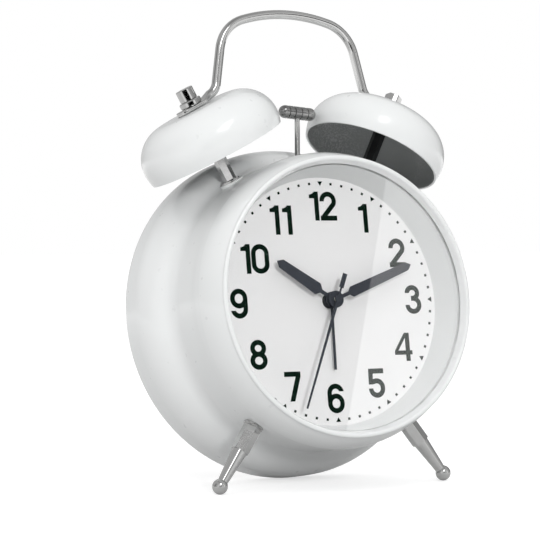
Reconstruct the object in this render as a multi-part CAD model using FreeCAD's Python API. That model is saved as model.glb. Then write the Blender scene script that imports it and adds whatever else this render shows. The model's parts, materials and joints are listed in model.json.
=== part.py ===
import FreeCAD, Part
import math
import os

from FreeCAD import Placement, Rotation, Vector

# Twin-bell quartz alarm clock, in millimetres.
# Every piece is drawn in the case's own frame: the dial's centre is the origin, X runs to the right of
# the dial, Y runs back through the case and Z runs up the dial. At the end the whole clock is leaned
# back until it stands on its two feet and the case's back edge.

# ------------------------------------------------------------------ stock and clearances
sheet = 0.8
press_gap = 0.02
running_gap = 0.05
hole_gap = 0.1
play = 0.3
point_tolerance = 0.01
same_point = 1e-6

# ------------------------------------------------------------------ case
neck_radius = 50.6
neck_length = 13.0
flare_rise = 7.4
flare_length = 17.865
flare_split = 0.35
back_edge_radius = 3.5
back_opening_room = 2.6
flange_width = 7.6
flange_corner = 0.3

# ------------------------------------------------------------------ dial, bezel and glass
dial_border = 7.8
dial_thickness = 0.5
dial_tuck = 3.7
ring_depth = 10.8
ring_flare = 2.5
ring_wall = 1.2
glass_thickness = 2.0
bezel_overhang = 0.4
bezel_wall = 1.0
bezel_skirt = 3.0
bezel_taper = 3.0
bezel_bulge = 0.9
lip_width = 2.4
lip_thickness = 1.5
nose_height = 2.8

# ------------------------------------------------------------------ bells, posts and handle
post_x = 25.82
post_y = 15.0
bell_tilt = 27.5
bell_nod = 2.0
pad_radius = 4.4
pad_height = 0.5
pad_backing = 1.2
stud_radius = 1.5
washer_radius = 3.5
washer_thickness = 0.6
post_flats = 4.0
bell_rim_z = 11.2
bell_rim_radius = 24.8
bell_curl = 0.7
bell_curl_share = 0.7
bell_skirt = 4.5
bell_shoulder = 12.6
tab_thickness = 1.6
tab_width = 6.4
tab_reach = 6.65
bell_nut_flats = 7.0
bell_nut_height = 2.0
cap_nut_flats = 5.5
cap_nut_height = 4.2
cap_cone_share = 0.4
lock_nut_flats = 5.5
lock_nut_height = 2.4
handle_radius = 1.6
handle_top_radius = 60.0
handle_rise = 60.33
handle_corner_radius = 14.0
handle_corner_x = 13.3
handle_side_lean = 11.25
handle_foot_bend = 6.0
tab_flat = 3.8

# ------------------------------------------------------------------ legs
leg_angle = 36.0
leg_y = 5.08
leg_flats = 5.5
leg_hex_length = 9.9
leg_cone_radius = 2.65
leg_tip_radius = 1.75
leg_ball_radius = 2.65
leg_length = 24.5

# ------------------------------------------------------------------ hands
hand_thickness = 0.35
hand_spacing = 1.6
boss_radius = 2.9
bush_length = 0.55
bush_wall = 0.45
alarm_hand_margin = 19.0
alarm_hand_width = 0.9
hour_hand_margin = 17.9
hour_hand_width = 4.3
hour_hand_tip_width = 3.2
minute_hand_margin = 9.6
minute_hand_width = 3.7
minute_hand_tip_width = 2.9
hand_neck_width = 1.3
hand_blade_start = 7.0
hand_point = 1.8
second_hand_margin = 2.8
second_hand_lift = 0.2
second_hand_width = 1.0
second_hand_tip_width = 0.6
counterweight_width = 1.6
counterweight_start = 4.1
counterweight_end = 9.2
second_cap_radius = 1.25
second_cap_height = 0.3
alarm_hand_angle = 181.2
hour_hand_angle = -57.0
minute_hand_angle = 69.4
second_hand_angle = 202.6

# ------------------------------------------------------------------ clock movement
movement_half_width = 28.0
movement_top = 24.0
movement_bottom = -28.0
movement_wall = 1.3
movement_back_wall = 1.2
movement_corner = 3.0
front_plate_thickness = 1.5
middle_plate_thickness = 0.6
plate_post_radius = 1.6
plate_post_inset = 3.1
second_arbor_radius = 0.35
pipe_gap = 0.07
pipe_wall = 0.43
bush_outer_radius = 2.6
bush_height = 0.8
pipe_proud = 0.5
pivot_depth = 0.4
tooth_addendum = 0.8
tooth_dedendum = 1.15
tooth_tip_share = 0.11
tooth_root_share = 0.34
hour_module = 0.48
motion_module = 0.5
train_module = 0.3
centre_teeth = 48
third_pinion_teeth = 8
alarm_teeth = 40
hour_teeth = 40
hour_pinion_teeth = 10
minute_teeth = 12
motion_teeth = 36
third_teeth = 60
second_pinion_teeth = 6
second_teeth = 60
step_pinion_teeth = 8
step_teeth = 32
rotor_teeth = 8
setting_teeth = 10
motion_angle = 135.0
time_stem_bearing = -110.0
step_bearing = -60.0
rotor_bearing = -30.0
arbor_radius = 0.4
motion_arbor_radius = 0.5
motion_wheel_thickness = 0.8
train_wheel_thickness = 0.6
step_wheel_thickness = 0.5
minute_collar_thickness = 0.3
wheel_gap = 0.4
magnet_radius = 2.4
magnet_length = 1.6
magnet_gap = 0.4
stator_thickness = 1.0
stator_side_rim = 0.2
stator_top_rim = 0.5
stator_drop = 4.7
stator_side_gap = 0.7
stator_leg = 3.0
stator_leg_lap = 0.4
coil_radius = 1.8
coil_height = 6.5
core_height = 1.6
flange_size = 4.0
flange_thickness = 0.8
bobbin_wall = 0.3
board_thickness = 0.8
board_length = 16.0
board_height = 10.0
board_side_gap = 9.0
board_end_gap = 4.0
board_peg_radius = 1.5
board_peg_length = 0.8
board_peg_inset = 2.75
crystal_radius = 1.0
crystal_length = 6.0
crystal_along = 5.0
crystal_up = 7.0

# ------------------------------------------------------------------ setting stems and knobs
stem_radius = 1.2
stem_pivot_radius = 0.8
stem_pivot_length = 1.04
knob_radius = 7.5
knob_height = 8.6
knob_flutes = 12
knob_flute_radius = 1.2
knob_hub_radius = 3.0

# ------------------------------------------------------------------ striker
hammer_lead = 0.5
hammer_pivot_rise = 0.33
hammer_rest_angle = 4.8
hammer_arm_radius = 0.9
hammer_reach = 24.8
hammer_head_radius = 2.3
hammer_head_length = 14.3
head_round = 1.6
head_groove = 0.4
hammer_slot_half_width = 3.0
hammer_slot_half_depth = 1.4
lever_hub_radius = 2.6
lever_hub_length = 3.0
lever_thickness = 1.6
lever_width = 5.0
socket_wall = 0.55
pivot_radius = 1.0
pivot_boss_radius = 2.2
crank_drop = 10.5
crank_teeth = 24
motor_teeth = 9
crank_module = 0.5
crank_gear_room = 1.4
crank_gear_thickness = 1.2
crank_boss_length = 1.9
crank_throw = 1.35
crank_pin_radius = 0.7
clip_radius = 1.9
clip_thickness = 0.4
clip_recess_depth = 1.0
fork_slot = 2.0
fork_lap = 0.85
motor_radius = 7.75
motor_flats = 12.0
motor_length = 16.0
motor_end_room = 1.6
motor_boss_radius = 3.0
motor_boss_height = 1.4
motor_shaft_radius = 0.75
motor_shaft_depth = 2.0

# ------------------------------------------------------------------ chassis, back cover and battery
chassis_thickness = 2.0
chassis_gap = 0.6
chassis_edge = 0.5
column_radius = 2.7
column_angles = (0.0, 180.0, 270.0, 35.0, 145.0)
pad_post_radius = 4.0
pad_post_inset = 8.0
cover_boss_radius = 3.5
cover_boss_angles = (40.0, 140.0, 210.0, 330.0)
cover_thickness = 2.0
cover_recess = 0.5
cover_gap = 0.25
cover_skirt_wall = 1.5
cover_skirt_depth = 3.6
screw_radius = 1.25
screw_length = 11.0
screw_head_radius = 2.8
screw_head_height = 1.8
screw_well_depth = 2.6
screw_well_floor = 1.4
screw_well_wall = 1.2
battery_radius = 7.1
battery_length = 50.5
battery_nub_radius = 2.6
battery_nub_height = 1.0
battery_z = -27.5
bay_wall = 1.4
bay_end_room = 2.75
door_thickness = 1.6
door_grip_radius = 5.4
door_pin_radius = 0.5
door_pin_length = 0.9
contact_thickness = 0.3
contact_width = 6.0
switch_z = 18.0
switch_travel = 5.0
switch_neck = 3.0
switch_button_length = 6.0
switch_button_width = 5.0
switch_button_height = 2.5
switch_plate_length = 9.6
switch_plate_width = 7.0
switch_plate_thickness = 1.0

# ------------------------------------------------------------------ values worked out from the sizes above
diagonal = math.sqrt(0.5)
flange_front = dial_thickness
flange_back = flange_front + sheet
flange_inner_radius = neck_radius - flange_width
neck_inner_radius = neck_radius - sheet
neck_end = flange_front + neck_length
drum_radius = neck_radius + flare_rise
drum_start = neck_end + flare_length
flare_angle = 2 * math.atan(flare_rise / flare_length)
flare_arc_sum = flare_length / math.sin(flare_angle)
waist_radius = flare_split * flare_arc_sum
shoulder_radius = flare_arc_sum - waist_radius

dial_radius = neck_radius - dial_border
bezel_radius = neck_radius + bezel_overhang
glass_back = -ring_depth
glass_front = glass_back - glass_thickness
glass_radius = bezel_radius - bezel_taper - play + hole_gap
lip_radius = bezel_radius - bezel_taper - lip_width
ring_glass_radius = dial_radius + ring_flare

post_reach = neck_radius + waist_radius - math.sqrt(waist_radius**2 - (post_y - neck_end) ** 2)
post_z = math.sqrt(post_reach**2 - post_x**2)
post_foot_z = pad_height + washer_thickness
bell_crown_z = bell_rim_z + bell_skirt + bell_shoulder
bell_max_radius = bell_rim_radius + bell_curl
tab_z = bell_crown_z
bell_nut_z = tab_z + tab_thickness
cap_nut_z = bell_nut_z + bell_nut_height
stud_hole_radius = stud_radius + hole_gap
handle_top_z = post_z + handle_rise

alarm_hand_length = dial_radius - alarm_hand_margin
hour_hand_length = dial_radius - hour_hand_margin
minute_hand_length = dial_radius - minute_hand_margin
second_hand_length = dial_radius - second_hand_margin
alarm_hand_y = -hand_spacing
hour_hand_y = -2 * hand_spacing
minute_hand_y = -3 * hand_spacing
second_hand_y = -4 * hand_spacing + second_hand_lift

minute_bore = second_arbor_radius + pipe_gap
minute_pipe_radius = minute_bore + pipe_wall
hour_bore = minute_pipe_radius + pipe_gap
hour_pipe_radius = hour_bore + pipe_wall
alarm_bore = hour_pipe_radius + pipe_gap
alarm_pipe_radius = alarm_bore + pipe_wall + running_gap
train_centre_module = (
    train_module * (third_teeth + second_pinion_teeth) / (centre_teeth + third_pinion_teeth)
)

# Depths inside the movement, from its front plate to its back wall; each wheel clears the one before it.
plate_back = flange_front + front_plate_thickness
alarm_wheel_y = (plate_back + play, plate_back + play + motion_wheel_thickness)
alarm_pinion_y = (alarm_wheel_y[0] - running_gap, alarm_wheel_y[1] + 3 * running_gap)
hour_wheel_y = (alarm_wheel_y[1] + wheel_gap, alarm_wheel_y[1] + wheel_gap + motion_wheel_thickness)
motion_wheel_front = hour_wheel_y[1] + 5 * play
motion_wheel_y = (motion_wheel_front, motion_wheel_front + motion_wheel_thickness)
hour_pinion_y = (hour_wheel_y[0] - hole_gap, motion_wheel_y[0])
minute_pinion_y = (motion_wheel_y[0] - hole_gap, motion_wheel_y[1] + play)
time_pinion_y = (motion_wheel_y[0] - play, motion_wheel_y[1] + play)
middle_plate_y = minute_pinion_y[1] + play
middle_plate_back = middle_plate_y + middle_plate_thickness
centre_wheel_y = (middle_plate_back + play, middle_plate_back + play + train_wheel_thickness)
minute_collar_front = centre_wheel_y[1] + 2 * hole_gap
minute_collar_y = (minute_collar_front, minute_collar_front + minute_collar_thickness)
third_wheel_y = (minute_collar_y[1] + play, minute_collar_y[1] + play + train_wheel_thickness)
third_pinion_y = (centre_wheel_y[0] - play / 2, third_wheel_y[0])
second_pinion_y = (third_wheel_y[0] - play / 2, third_wheel_y[1] + 2 * hole_gap)
step_wheel_front = third_wheel_y[1] + wheel_gap + play
step_wheel_y = (step_wheel_front, step_wheel_front + step_wheel_thickness)
rotor_pinion_y = (step_wheel_y[0] - 2 * hole_gap, step_wheel_y[1] + 2 * hole_gap)
second_wheel_front = step_wheel_y[1] + wheel_gap + hole_gap
second_wheel_y = (second_wheel_front, second_wheel_front + train_wheel_thickness)
step_pinion_y = (step_wheel_y[1], second_wheel_y[1] + play)
magnet_front = rotor_pinion_y[1] + wheel_gap + hole_gap
magnet_y = (magnet_front, magnet_front + magnet_length)
stator_y = (magnet_y[0] + play, magnet_y[0] + play + stator_thickness)
core_y = stator_y[0] + stator_thickness / 2
back_wall_front = core_y + coil_radius + 2 * hole_gap
board_back = back_wall_front - board_peg_length
pivot_end = back_wall_front + pivot_depth
movement_depth = back_wall_front + movement_back_wall

# Depths behind the movement: striker, chassis, motor and back cover, which together set the case's depth.
hammer_y = post_y - hammer_lead
hammer_pivot_z = post_z + hammer_pivot_rise
lever_front = hammer_y - lever_thickness / 2
lever_back = hammer_y + lever_thickness / 2
lever_length = crank_drop + crank_throw + crank_pin_radius + fork_lap
crank_z = hammer_pivot_z - crank_drop
crank_gear_y = lever_back + crank_gear_room
crank_gear_back = crank_gear_y + crank_gear_thickness
crank_boss_front = crank_gear_back + 2 * hole_gap
chassis_y = crank_boss_front + crank_boss_length
chassis_back = chassis_y + chassis_thickness
cover_y = chassis_back + motor_length + motor_end_room
cover_back = cover_y + cover_thickness
case_depth = cover_back + cover_recess
pivot_boss_front = hammer_y + lever_hub_length / 2 + hole_gap
pivot = (0.0, hammer_pivot_z)
crank_pivot = (0.0, crank_z)
motor_axis = (crank_module * (crank_teeth + motor_teeth) / 2, crank_z)

chassis_radius = neck_inner_radius - chassis_gap
cover_boss_circle = chassis_radius - cover_boss_radius - chassis_edge
back_opening_radius = chassis_radius + back_opening_room
cover_radius = back_opening_radius - cover_gap
screw_seat = cover_back - screw_well_depth
boss_top = screw_seat - screw_well_floor
screw_head_back = screw_seat + screw_head_height

bay_half_length = (battery_length + bay_end_room) / 2 + contact_thickness + play + bay_wall
bay_half_height = battery_radius + play + bay_wall
bay_floor_y = cover_y - 2 * battery_radius - 2 * play - bay_wall
battery_y = bay_floor_y + bay_wall + play + battery_radius - hole_gap
battery_left = -bay_half_length + bay_wall + contact_thickness + hole_gap
battery_right = battery_left + battery_length
door_half_length = bay_half_length - bay_wall - play
door_low = battery_z - bay_half_height + bay_wall
door_high = battery_z + bay_half_height - bay_wall + play
door_front = cover_back - door_thickness
hinge_radius = door_thickness / 2
hinge_y = door_front + hinge_radius
hinge_z = door_low + hinge_radius
switch_x = -switch_travel / 2
button_front = cover_back + 2 * hole_gap
button_back = button_front + switch_button_height
keeper_back = cover_y - 2 * hole_gap

knob_front = cover_back + play
knob_back = knob_front + knob_height
stem_back = knob_back - knob_height / 2
stem_shoulder = plate_back + hole_gap


# ------------------------------------------------------------------ drawing helpers
def direction(angle):
    """Unit vector in the dial's plane, measured from X towards Z."""
    return Vector(math.cos(math.radians(angle)), 0, math.sin(math.radians(angle)))


def at_bearing(centre, distance, bearing):
    """Point (x, z) at a distance and bearing from another one."""
    step = direction(bearing) * distance
    return (centre[0] + step.x, centre[1] + step.z)


def outline(steps, to_point):
    """Closed face from steps: (a, b) ends a straight run, ((a, b), (c, d)) is an arc's middle and end."""
    first = to_point(*steps[0])
    here = first
    edges = []
    for step in steps[1:]:
        if isinstance(step[0], tuple):
            middle = to_point(*step[0])
            end = to_point(*step[1])
            edges.append(Part.Arc(here, middle, end).toShape())
        else:
            end = to_point(*step)
            edges.append(Part.makeLine(here, end))
        here = end
    if not here.isEqual(first, same_point):
        edges.append(Part.makeLine(here, first))
    return Part.Face(Part.Wire(edges))


def turned(steps):
    """Solid of revolution about the dial's axis from (radius, y) steps."""
    face = outline(steps, lambda radius, y: Vector(radius, y, 0))
    return face.revolve(Vector(0, 0, 0), Vector(0, 1, 0), 360)


def spun(steps):
    """Solid of revolution about a local Z axis from (radius, z) steps."""
    face = outline(steps, lambda radius, z: Vector(radius, 0, z))
    return face.revolve(Vector(0, 0, 0), Vector(0, 0, 1), 360)


def cut_from_sheet(steps, front, back):
    """Flat piece with an (x, z) outline between two depths."""
    face = outline(steps, lambda x, z: Vector(x, front, z))
    return face.extrude(Vector(0, back - front, 0))


def rod(radius, front, back, centre=(0.0, 0.0)):
    """Round bar parallel to the dial's axis."""
    return Part.makeCylinder(radius, back - front, Vector(centre[0], front, centre[1]), Vector(0, 1, 0))


def tube(outer, inner, front, back, centre=(0.0, 0.0)):
    """Round pipe parallel to the dial's axis."""
    return rod(outer, front, back, centre).cut(rod(inner, front, back, centre))


def slab(x_limits, y_limits, z_limits, corner=0.0):
    """Block between limits, with the edges that run along Y rounded."""
    size = [limits[1] - limits[0] for limits in (x_limits, y_limits, z_limits)]
    block = Part.makeBox(*size, Vector(x_limits[0], y_limits[0], z_limits[0]))
    if corner == 0.0:
        return block
    along_y = [edge for edge in block.Edges if edge.BoundBox.YLength > point_tolerance]
    return block.makeFillet(corner, along_y)


def hexagon(flats, bottom, top):
    """Six-sided bar about a local Z axis."""
    corner = flats / math.sqrt(3)
    points = [direction(60 * side + 30) * corner for side in range(7)]
    flat = [Vector(point.x, point.z, bottom) for point in points]
    return Part.Face(Part.makePolygon(flat)).extrude(Vector(0, 0, top - bottom))


def local_rod(radius, bottom, top):
    """Round bar about a local Z axis."""
    return Part.makeCylinder(radius, top - bottom, Vector(0, 0, bottom))


def placed(shape, place):
    """Copy of a shape, moved to its place."""
    moved = shape.copy()
    moved.Placement = place.multiply(moved.Placement)
    return moved


def fused(pieces):
    """One solid from pieces that touch or overlap."""
    return pieces[0].multiFuse(pieces[1:]).removeSplitter()


def rounded_rim(disc, y, radius):
    """Round disc with the edge at one depth rounded."""
    rim = [edge for edge in disc.Edges if abs(edge.BoundBox.YMin - y) < point_tolerance and edge.Closed]
    return disc.makeFillet(radius, rim)


def gear(teeth, module, front, back, centre, phase):
    """Spur gear; one tooth points to the phase angle, and the teeth are slim enough to run freely."""
    pitch = 360 / teeth
    root = module * (teeth / 2 - tooth_dedendum)
    tip = module * (teeth / 2 + tooth_addendum)
    flanks = (
        (root, -tooth_root_share),
        (tip, -tooth_tip_share),
        (tip, tooth_tip_share),
        (root, tooth_root_share),
    )
    points = []
    for tooth in range(teeth):
        for reach, share in flanks:
            point = direction(phase + (tooth + share) * pitch) * reach
            points.append(Vector(centre[0] + point.x, front, centre[1] + point.z))
    points.append(points[0])
    return Part.Face(Part.makePolygon(points)).extrude(Vector(0, back - front, 0))


def mesh_phase(phase, teeth, bearing, mate_teeth):
    """Phase of the mating gear, so that its tooth fills the first gear's gap on the line of centres."""
    return bearing + 180 + 180 / mate_teeth - (phase - bearing) * teeth / mate_teeth


def pitch_distance(teeth, mate_teeth, module):
    """Distance between the axes of two meshing gears."""
    return module * (teeth + mate_teeth) / 2


# ------------------------------------------------------------------ places of the wheels
centre_axis = (0.0, 0.0)
motion_axis = at_bearing(centre_axis, pitch_distance(minute_teeth, motion_teeth, motion_module), motion_angle)
third_axis = at_bearing(centre_axis, pitch_distance(third_teeth, second_pinion_teeth, train_module), 90.0)
step_axis = at_bearing(
    centre_axis, pitch_distance(second_teeth, step_pinion_teeth, train_module), step_bearing
)
rotor_axis = at_bearing(step_axis, pitch_distance(step_teeth, rotor_teeth, train_module), rotor_bearing)
time_stem_axis = at_bearing(
    motion_axis, pitch_distance(motion_teeth, setting_teeth, motion_module), time_stem_bearing
)
alarm_stem_distance = pitch_distance(alarm_teeth, setting_teeth, motion_module)
alarm_stem_bearing = math.degrees(math.asin(time_stem_axis[1] / alarm_stem_distance))
alarm_stem_axis = at_bearing(centre_axis, alarm_stem_distance, alarm_stem_bearing)

stator_left = rotor_axis[0] - magnet_radius - magnet_gap - stator_side_rim
stator_right = movement_half_width - movement_wall - stator_side_gap
stator_top = rotor_axis[1] + magnet_radius + magnet_gap + stator_top_rim
stator_bottom = rotor_axis[1] - stator_drop
coil_left = stator_left + stator_leg + play
coil_right = stator_right - stator_leg - play
coil_z = movement_bottom + coil_height
board_left = -movement_half_width + board_side_gap
board_right = board_left + board_length
board_bottom = movement_bottom + board_end_gap
board_top = board_bottom + board_height
board_middle = (board_bottom + board_top) / 2
board_pegs = ((board_left + board_peg_inset, board_middle), (board_right - board_peg_inset, board_middle))
pad_x = movement_half_width - pad_post_inset
pad_top = movement_top - pad_post_inset
pad_bottom = movement_bottom + pad_post_inset
chassis_pads = ((-pad_x, pad_top), (pad_x, pad_top), (-pad_x, pad_bottom), (pad_x, pad_bottom))

# Tooth phases, worked along each train so that every pair meshes.
minute_phase = 0.0
motion_phase = mesh_phase(minute_phase, minute_teeth, motion_angle, motion_teeth)
hour_phase = mesh_phase(motion_phase, hour_pinion_teeth, motion_angle + 180, hour_teeth)
time_pinion_phase = mesh_phase(motion_phase, motion_teeth, time_stem_bearing, setting_teeth)
alarm_phase = 0.0
alarm_pinion_phase = mesh_phase(alarm_phase, alarm_teeth, alarm_stem_bearing, setting_teeth)
second_phase = 0.0
third_phase = mesh_phase(second_phase, second_pinion_teeth, 90.0, third_teeth)
centre_phase = mesh_phase(third_phase, third_pinion_teeth, -90.0, centre_teeth)
step_phase = mesh_phase(second_phase, second_teeth, step_bearing, step_pinion_teeth)
rotor_phase = mesh_phase(step_phase, step_teeth, rotor_bearing, rotor_teeth)
crank_phase = 0.0
motor_phase = mesh_phase(crank_phase, crank_teeth, 0.0, motor_teeth)


# ------------------------------------------------------------------ places of the bells and legs
def bell_place(side):
    """Local frame on the case under a bell: its Z axis is the bell's own axis."""
    origin = Vector(side * post_x, post_y, post_z)
    turn = Rotation(Vector(0, 1, 0), side * bell_tilt).multiply(Rotation(Vector(1, 0, 0), bell_nod))
    return Placement(origin, turn)


def leg_place(side):
    """Local frame on the neck under the case: its Z axis runs out along the leg."""
    angle = math.radians(leg_angle)
    origin = Vector(side * neck_radius * math.sin(angle), leg_y, -neck_radius * math.cos(angle))
    return Placement(origin, Rotation(Vector(0, 1, 0), side * (180 - leg_angle)))


# ------------------------------------------------------------------ case and front
def case_body(inset):
    """The case's outer form, filled, drawn inset from its skin."""
    corner = max(flange_corner - inset, hole_gap)
    corner_radius = neck_radius - inset - corner
    corner_y = flange_front + inset + corner
    waist = waist_radius + inset
    shoulder = shoulder_radius - inset
    waist_centre = neck_radius + waist_radius
    shoulder_centre = drum_radius - shoulder_radius
    edge = back_edge_radius - inset
    edge_centre = (drum_radius - back_edge_radius, case_depth - back_edge_radius)

    def on_waist(turn):
        return (waist_centre - waist * math.cos(turn), neck_end + waist * math.sin(turn))

    def on_shoulder(turn):
        return (shoulder_centre + shoulder * math.cos(turn), drum_start - shoulder * math.sin(turn))

    return turned([
        (0.0, flange_front + inset),
        (corner_radius, flange_front + inset),
        (
            (corner_radius + corner * diagonal, corner_y - corner * diagonal),
            (corner_radius + corner, corner_y),
        ),
        (neck_radius - inset, neck_end),
        (on_waist(flare_angle / 2), on_waist(flare_angle)),
        (on_shoulder(flare_angle / 2), on_shoulder(0.0)),
        (drum_radius - inset, edge_centre[1]),
        (
            (edge_centre[0] + edge * diagonal, edge_centre[1] + edge * diagonal),
            (edge_centre[0], case_depth - inset),
        ),
        (0.0, case_depth - inset),
    ])


def make_case_shell():
    """Pressed steel case with a flat seat for each bell post, leg holes and the hammer's slot."""
    filled = case_body(0.0)
    shell = filled.cut(case_body(sheet))
    shell = shell.cut(rod(flange_inner_radius, 0.0, flange_back + sheet))
    shell = shell.cut(rod(back_opening_radius, case_depth - 2 * sheet, case_depth + sheet))
    seat_top = bell_rim_z
    for side in (-1, 1):
        place = bell_place(side)
        dish = placed(local_rod(pad_radius + sheet, -pad_backing, seat_top), place).common(filled)
        pad = placed(local_rod(pad_radius, -pad_backing, pad_height), place)
        clear = placed(local_rod(pad_radius - play, pad_height, seat_top), place)
        hole = placed(local_rod(stud_hole_radius, -2 * pad_backing, seat_top), place)
        shell = shell.fuse(dish).fuse(pad).cut(clear).cut(hole)
    for side in (-1, 1):
        hole = placed(local_rod(stud_hole_radius, -2 * sheet, sheet), leg_place(side))
        shell = shell.cut(hole)
    slot = slab(
        (-hammer_slot_half_width, hammer_slot_half_width),
        (hammer_y - hammer_slot_half_depth, hammer_y + hammer_slot_half_depth),
        (neck_inner_radius - 2 * sheet, neck_radius + 2 * sheet),
    )
    return shell.cut(slot).removeSplitter()


def make_bezel():
    """Rolled front ring: a curved outer wall, a rounded nose and an inward lip over the glass."""
    skirt_y = -bezel_skirt
    seat_radius = bezel_radius - bezel_taper
    shoulder_y = glass_front - lip_thickness
    nose_y = glass_front - nose_height
    middle_y = (skirt_y + glass_front) / 2
    return turned([
        (bezel_radius - bezel_wall, flange_front),
        (bezel_radius, flange_front),
        (bezel_radius, skirt_y),
        ((bezel_radius - bezel_bulge, middle_y - bezel_wall), (seat_radius, shoulder_y)),
        ((seat_radius - lip_width / 3, nose_y), (lip_radius + lip_width / 3, shoulder_y - nose_height / 4)),
        (lip_radius, glass_front),
        (seat_radius, glass_front),
        ((bezel_radius - bezel_wall - bezel_bulge, middle_y), (bezel_radius - bezel_wall, skirt_y)),
    ])


def make_dial_ring():
    """Deep conical ring between the dial and the glass."""
    return turned([
        (dial_radius, 0.0),
        (ring_glass_radius, glass_back),
        (glass_radius, glass_back),
        (glass_radius, glass_back + ring_wall),
        (ring_glass_radius + ring_wall, glass_back + ring_wall),
        (dial_radius + ring_wall, 0.0),
    ])


# ------------------------------------------------------------------ hands
def bladed_hand(length, width, tip_width):
    """Half-open outline of a hand: slim neck, straight blade, pointed tip; drawn pointing up."""
    neck = hand_neck_width / 2
    blade = width / 2
    tip = tip_width / 2
    root = boss_radius / 2
    shoulder = hand_blade_start - (blade - neck)
    return [
        (-neck, root),
        (-neck, shoulder),
        (-blade, hand_blade_start),
        (-tip, length - hand_point),
        (0.0, length),
        (tip, length - hand_point),
        (blade, hand_blade_start),
        (neck, shoulder),
        (neck, root),
    ]


def straight_hand(length, width, tip_width):
    """Needle from the axis to the tip, drawn pointing up."""
    return [
        (-width / 2, 0.0),
        (-tip_width / 2, length),
        (tip_width / 2, length),
        (width / 2, 0.0),
    ]


def make_hand(steps, y, bore, angle, boss, extras=()):
    """Flat hand with a round boss and a short bush behind it, pressed on its pipe."""
    front = y - hand_thickness / 2
    back = y + hand_thickness / 2
    pieces = [cut_from_sheet(steps, front, back), rod(boss, front, back)]
    pieces.append(rod(bore + bush_wall, back, back + bush_length))
    for extra in extras:
        pieces.append(cut_from_sheet(extra, front, back))
    hand = fused(pieces).cut(rod(bore, front, back + bush_length))
    return placed(hand, Placement(Vector(0, 0, 0), Rotation(Vector(0, 1, 0), angle)))


def make_second_hand():
    """Slim hand with a counterweight behind the axis and a round cap over its bush."""
    neck = second_hand_tip_width / 2
    weight = counterweight_width / 2
    tail = [
        (-neck, 0.0),
        (neck, 0.0),
        (neck, -counterweight_start),
        (weight, -counterweight_start),
        (weight, -counterweight_end),
        (-weight, -counterweight_end),
        (-weight, -counterweight_start),
        (-neck, -counterweight_start),
    ]
    needle = straight_hand(second_hand_length, second_hand_width, second_hand_tip_width)
    bore = second_arbor_radius + press_gap
    hand = make_hand(needle, second_hand_y, bore, second_hand_angle, second_cap_radius, [tail])
    hand_front = second_hand_y - hand_thickness / 2
    cap = rod(second_cap_radius, hand_front - second_cap_height, hand_front)
    return hand.fuse(cap).removeSplitter()


# ------------------------------------------------------------------ bells, posts, handle and legs
def make_bell(side):
    """Spun steel gong: short curled skirt, round shoulder and flat crown with a hole."""
    skirt_top = bell_rim_z + bell_skirt
    middle_z = bell_rim_z + bell_skirt / 2
    curl = bell_curl_share * bell_curl
    shoulder_centre = bell_max_radius - bell_shoulder
    inner = bell_shoulder - sheet
    hole = stud_hole_radius + hole_gap
    gong = spun([
        (bell_rim_radius - sheet, bell_rim_z),
        (bell_rim_radius, bell_rim_z),
        ((bell_rim_radius + curl, middle_z), (bell_max_radius, skirt_top)),
        (
            (shoulder_centre + bell_shoulder * diagonal, skirt_top + bell_shoulder * diagonal),
            (shoulder_centre, bell_crown_z),
        ),
        (hole, bell_crown_z),
        (hole, bell_crown_z - sheet),
        (shoulder_centre, bell_crown_z - sheet),
        (
            (shoulder_centre + inner * diagonal, skirt_top + inner * diagonal),
            (bell_max_radius - sheet, skirt_top),
        ),
        ((bell_rim_radius + curl - sheet, middle_z), (bell_rim_radius - sheet, bell_rim_z)),
    ])
    return placed(gong, bell_place(side))


def make_bell_post(side):
    """Hexagonal pillar with a threaded stud at each end."""
    bar = hexagon(post_flats, post_foot_z, bell_crown_z - sheet)
    stud_bottom = -pad_backing - lock_nut_height - stud_radius
    stud_top = cap_nut_z + cap_nut_height / 2
    return placed(bar.fuse(local_rod(stud_radius, stud_bottom, stud_top)), bell_place(side))


def washer(bottom):
    """Flat ring round a stud, in the stud's local frame."""
    ring = local_rod(washer_radius, bottom, bottom + washer_thickness)
    return ring.cut(local_rod(stud_hole_radius, bottom, bottom + washer_thickness))


def nut(flats, bottom, height):
    """Hexagonal nut with chamfered faces, in the stud's local frame."""
    body = hexagon(flats, bottom, bottom + height)
    chamfer = spun([
        (0.0, bottom),
        (flats / 2, bottom),
        (flats / 2 + height, bottom + height / 2),
        (flats / 2, bottom + height),
        (0.0, bottom + height),
    ])
    return body.common(chamfer).cut(local_rod(stud_radius + press_gap, bottom, bottom + height))


def make_cap_nut(side):
    """Small closed nut on top of the stack, its upper corners turned to a cone."""
    top = cap_nut_z + cap_nut_height
    corner = cap_nut_flats / math.sqrt(3)
    cone_start = top - cap_cone_share * cap_nut_height
    envelope = spun([
        (0.0, cap_nut_z),
        (corner, cap_nut_z),
        (corner, cone_start),
        (cap_nut_flats / 3, top),
        (0.0, top),
    ])
    body = hexagon(cap_nut_flats, cap_nut_z, top).common(envelope)
    bore = local_rod(stud_radius + press_gap, cap_nut_z, cap_nut_z + cap_nut_height / 2 + play)
    return placed(body.cut(bore), bell_place(side))


def crossing(point, heading, other_point, other_heading):
    """Point (x, z) where two straight lines cross."""
    dx = other_point[0] - point[0]
    dz = other_point[1] - point[1]
    turn = heading.x * other_heading.z - heading.z * other_heading.x
    along = (dx * other_heading.z - dz * other_heading.x) / turn
    return (point[0] + heading.x * along, point[1] + heading.z * along)


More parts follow.
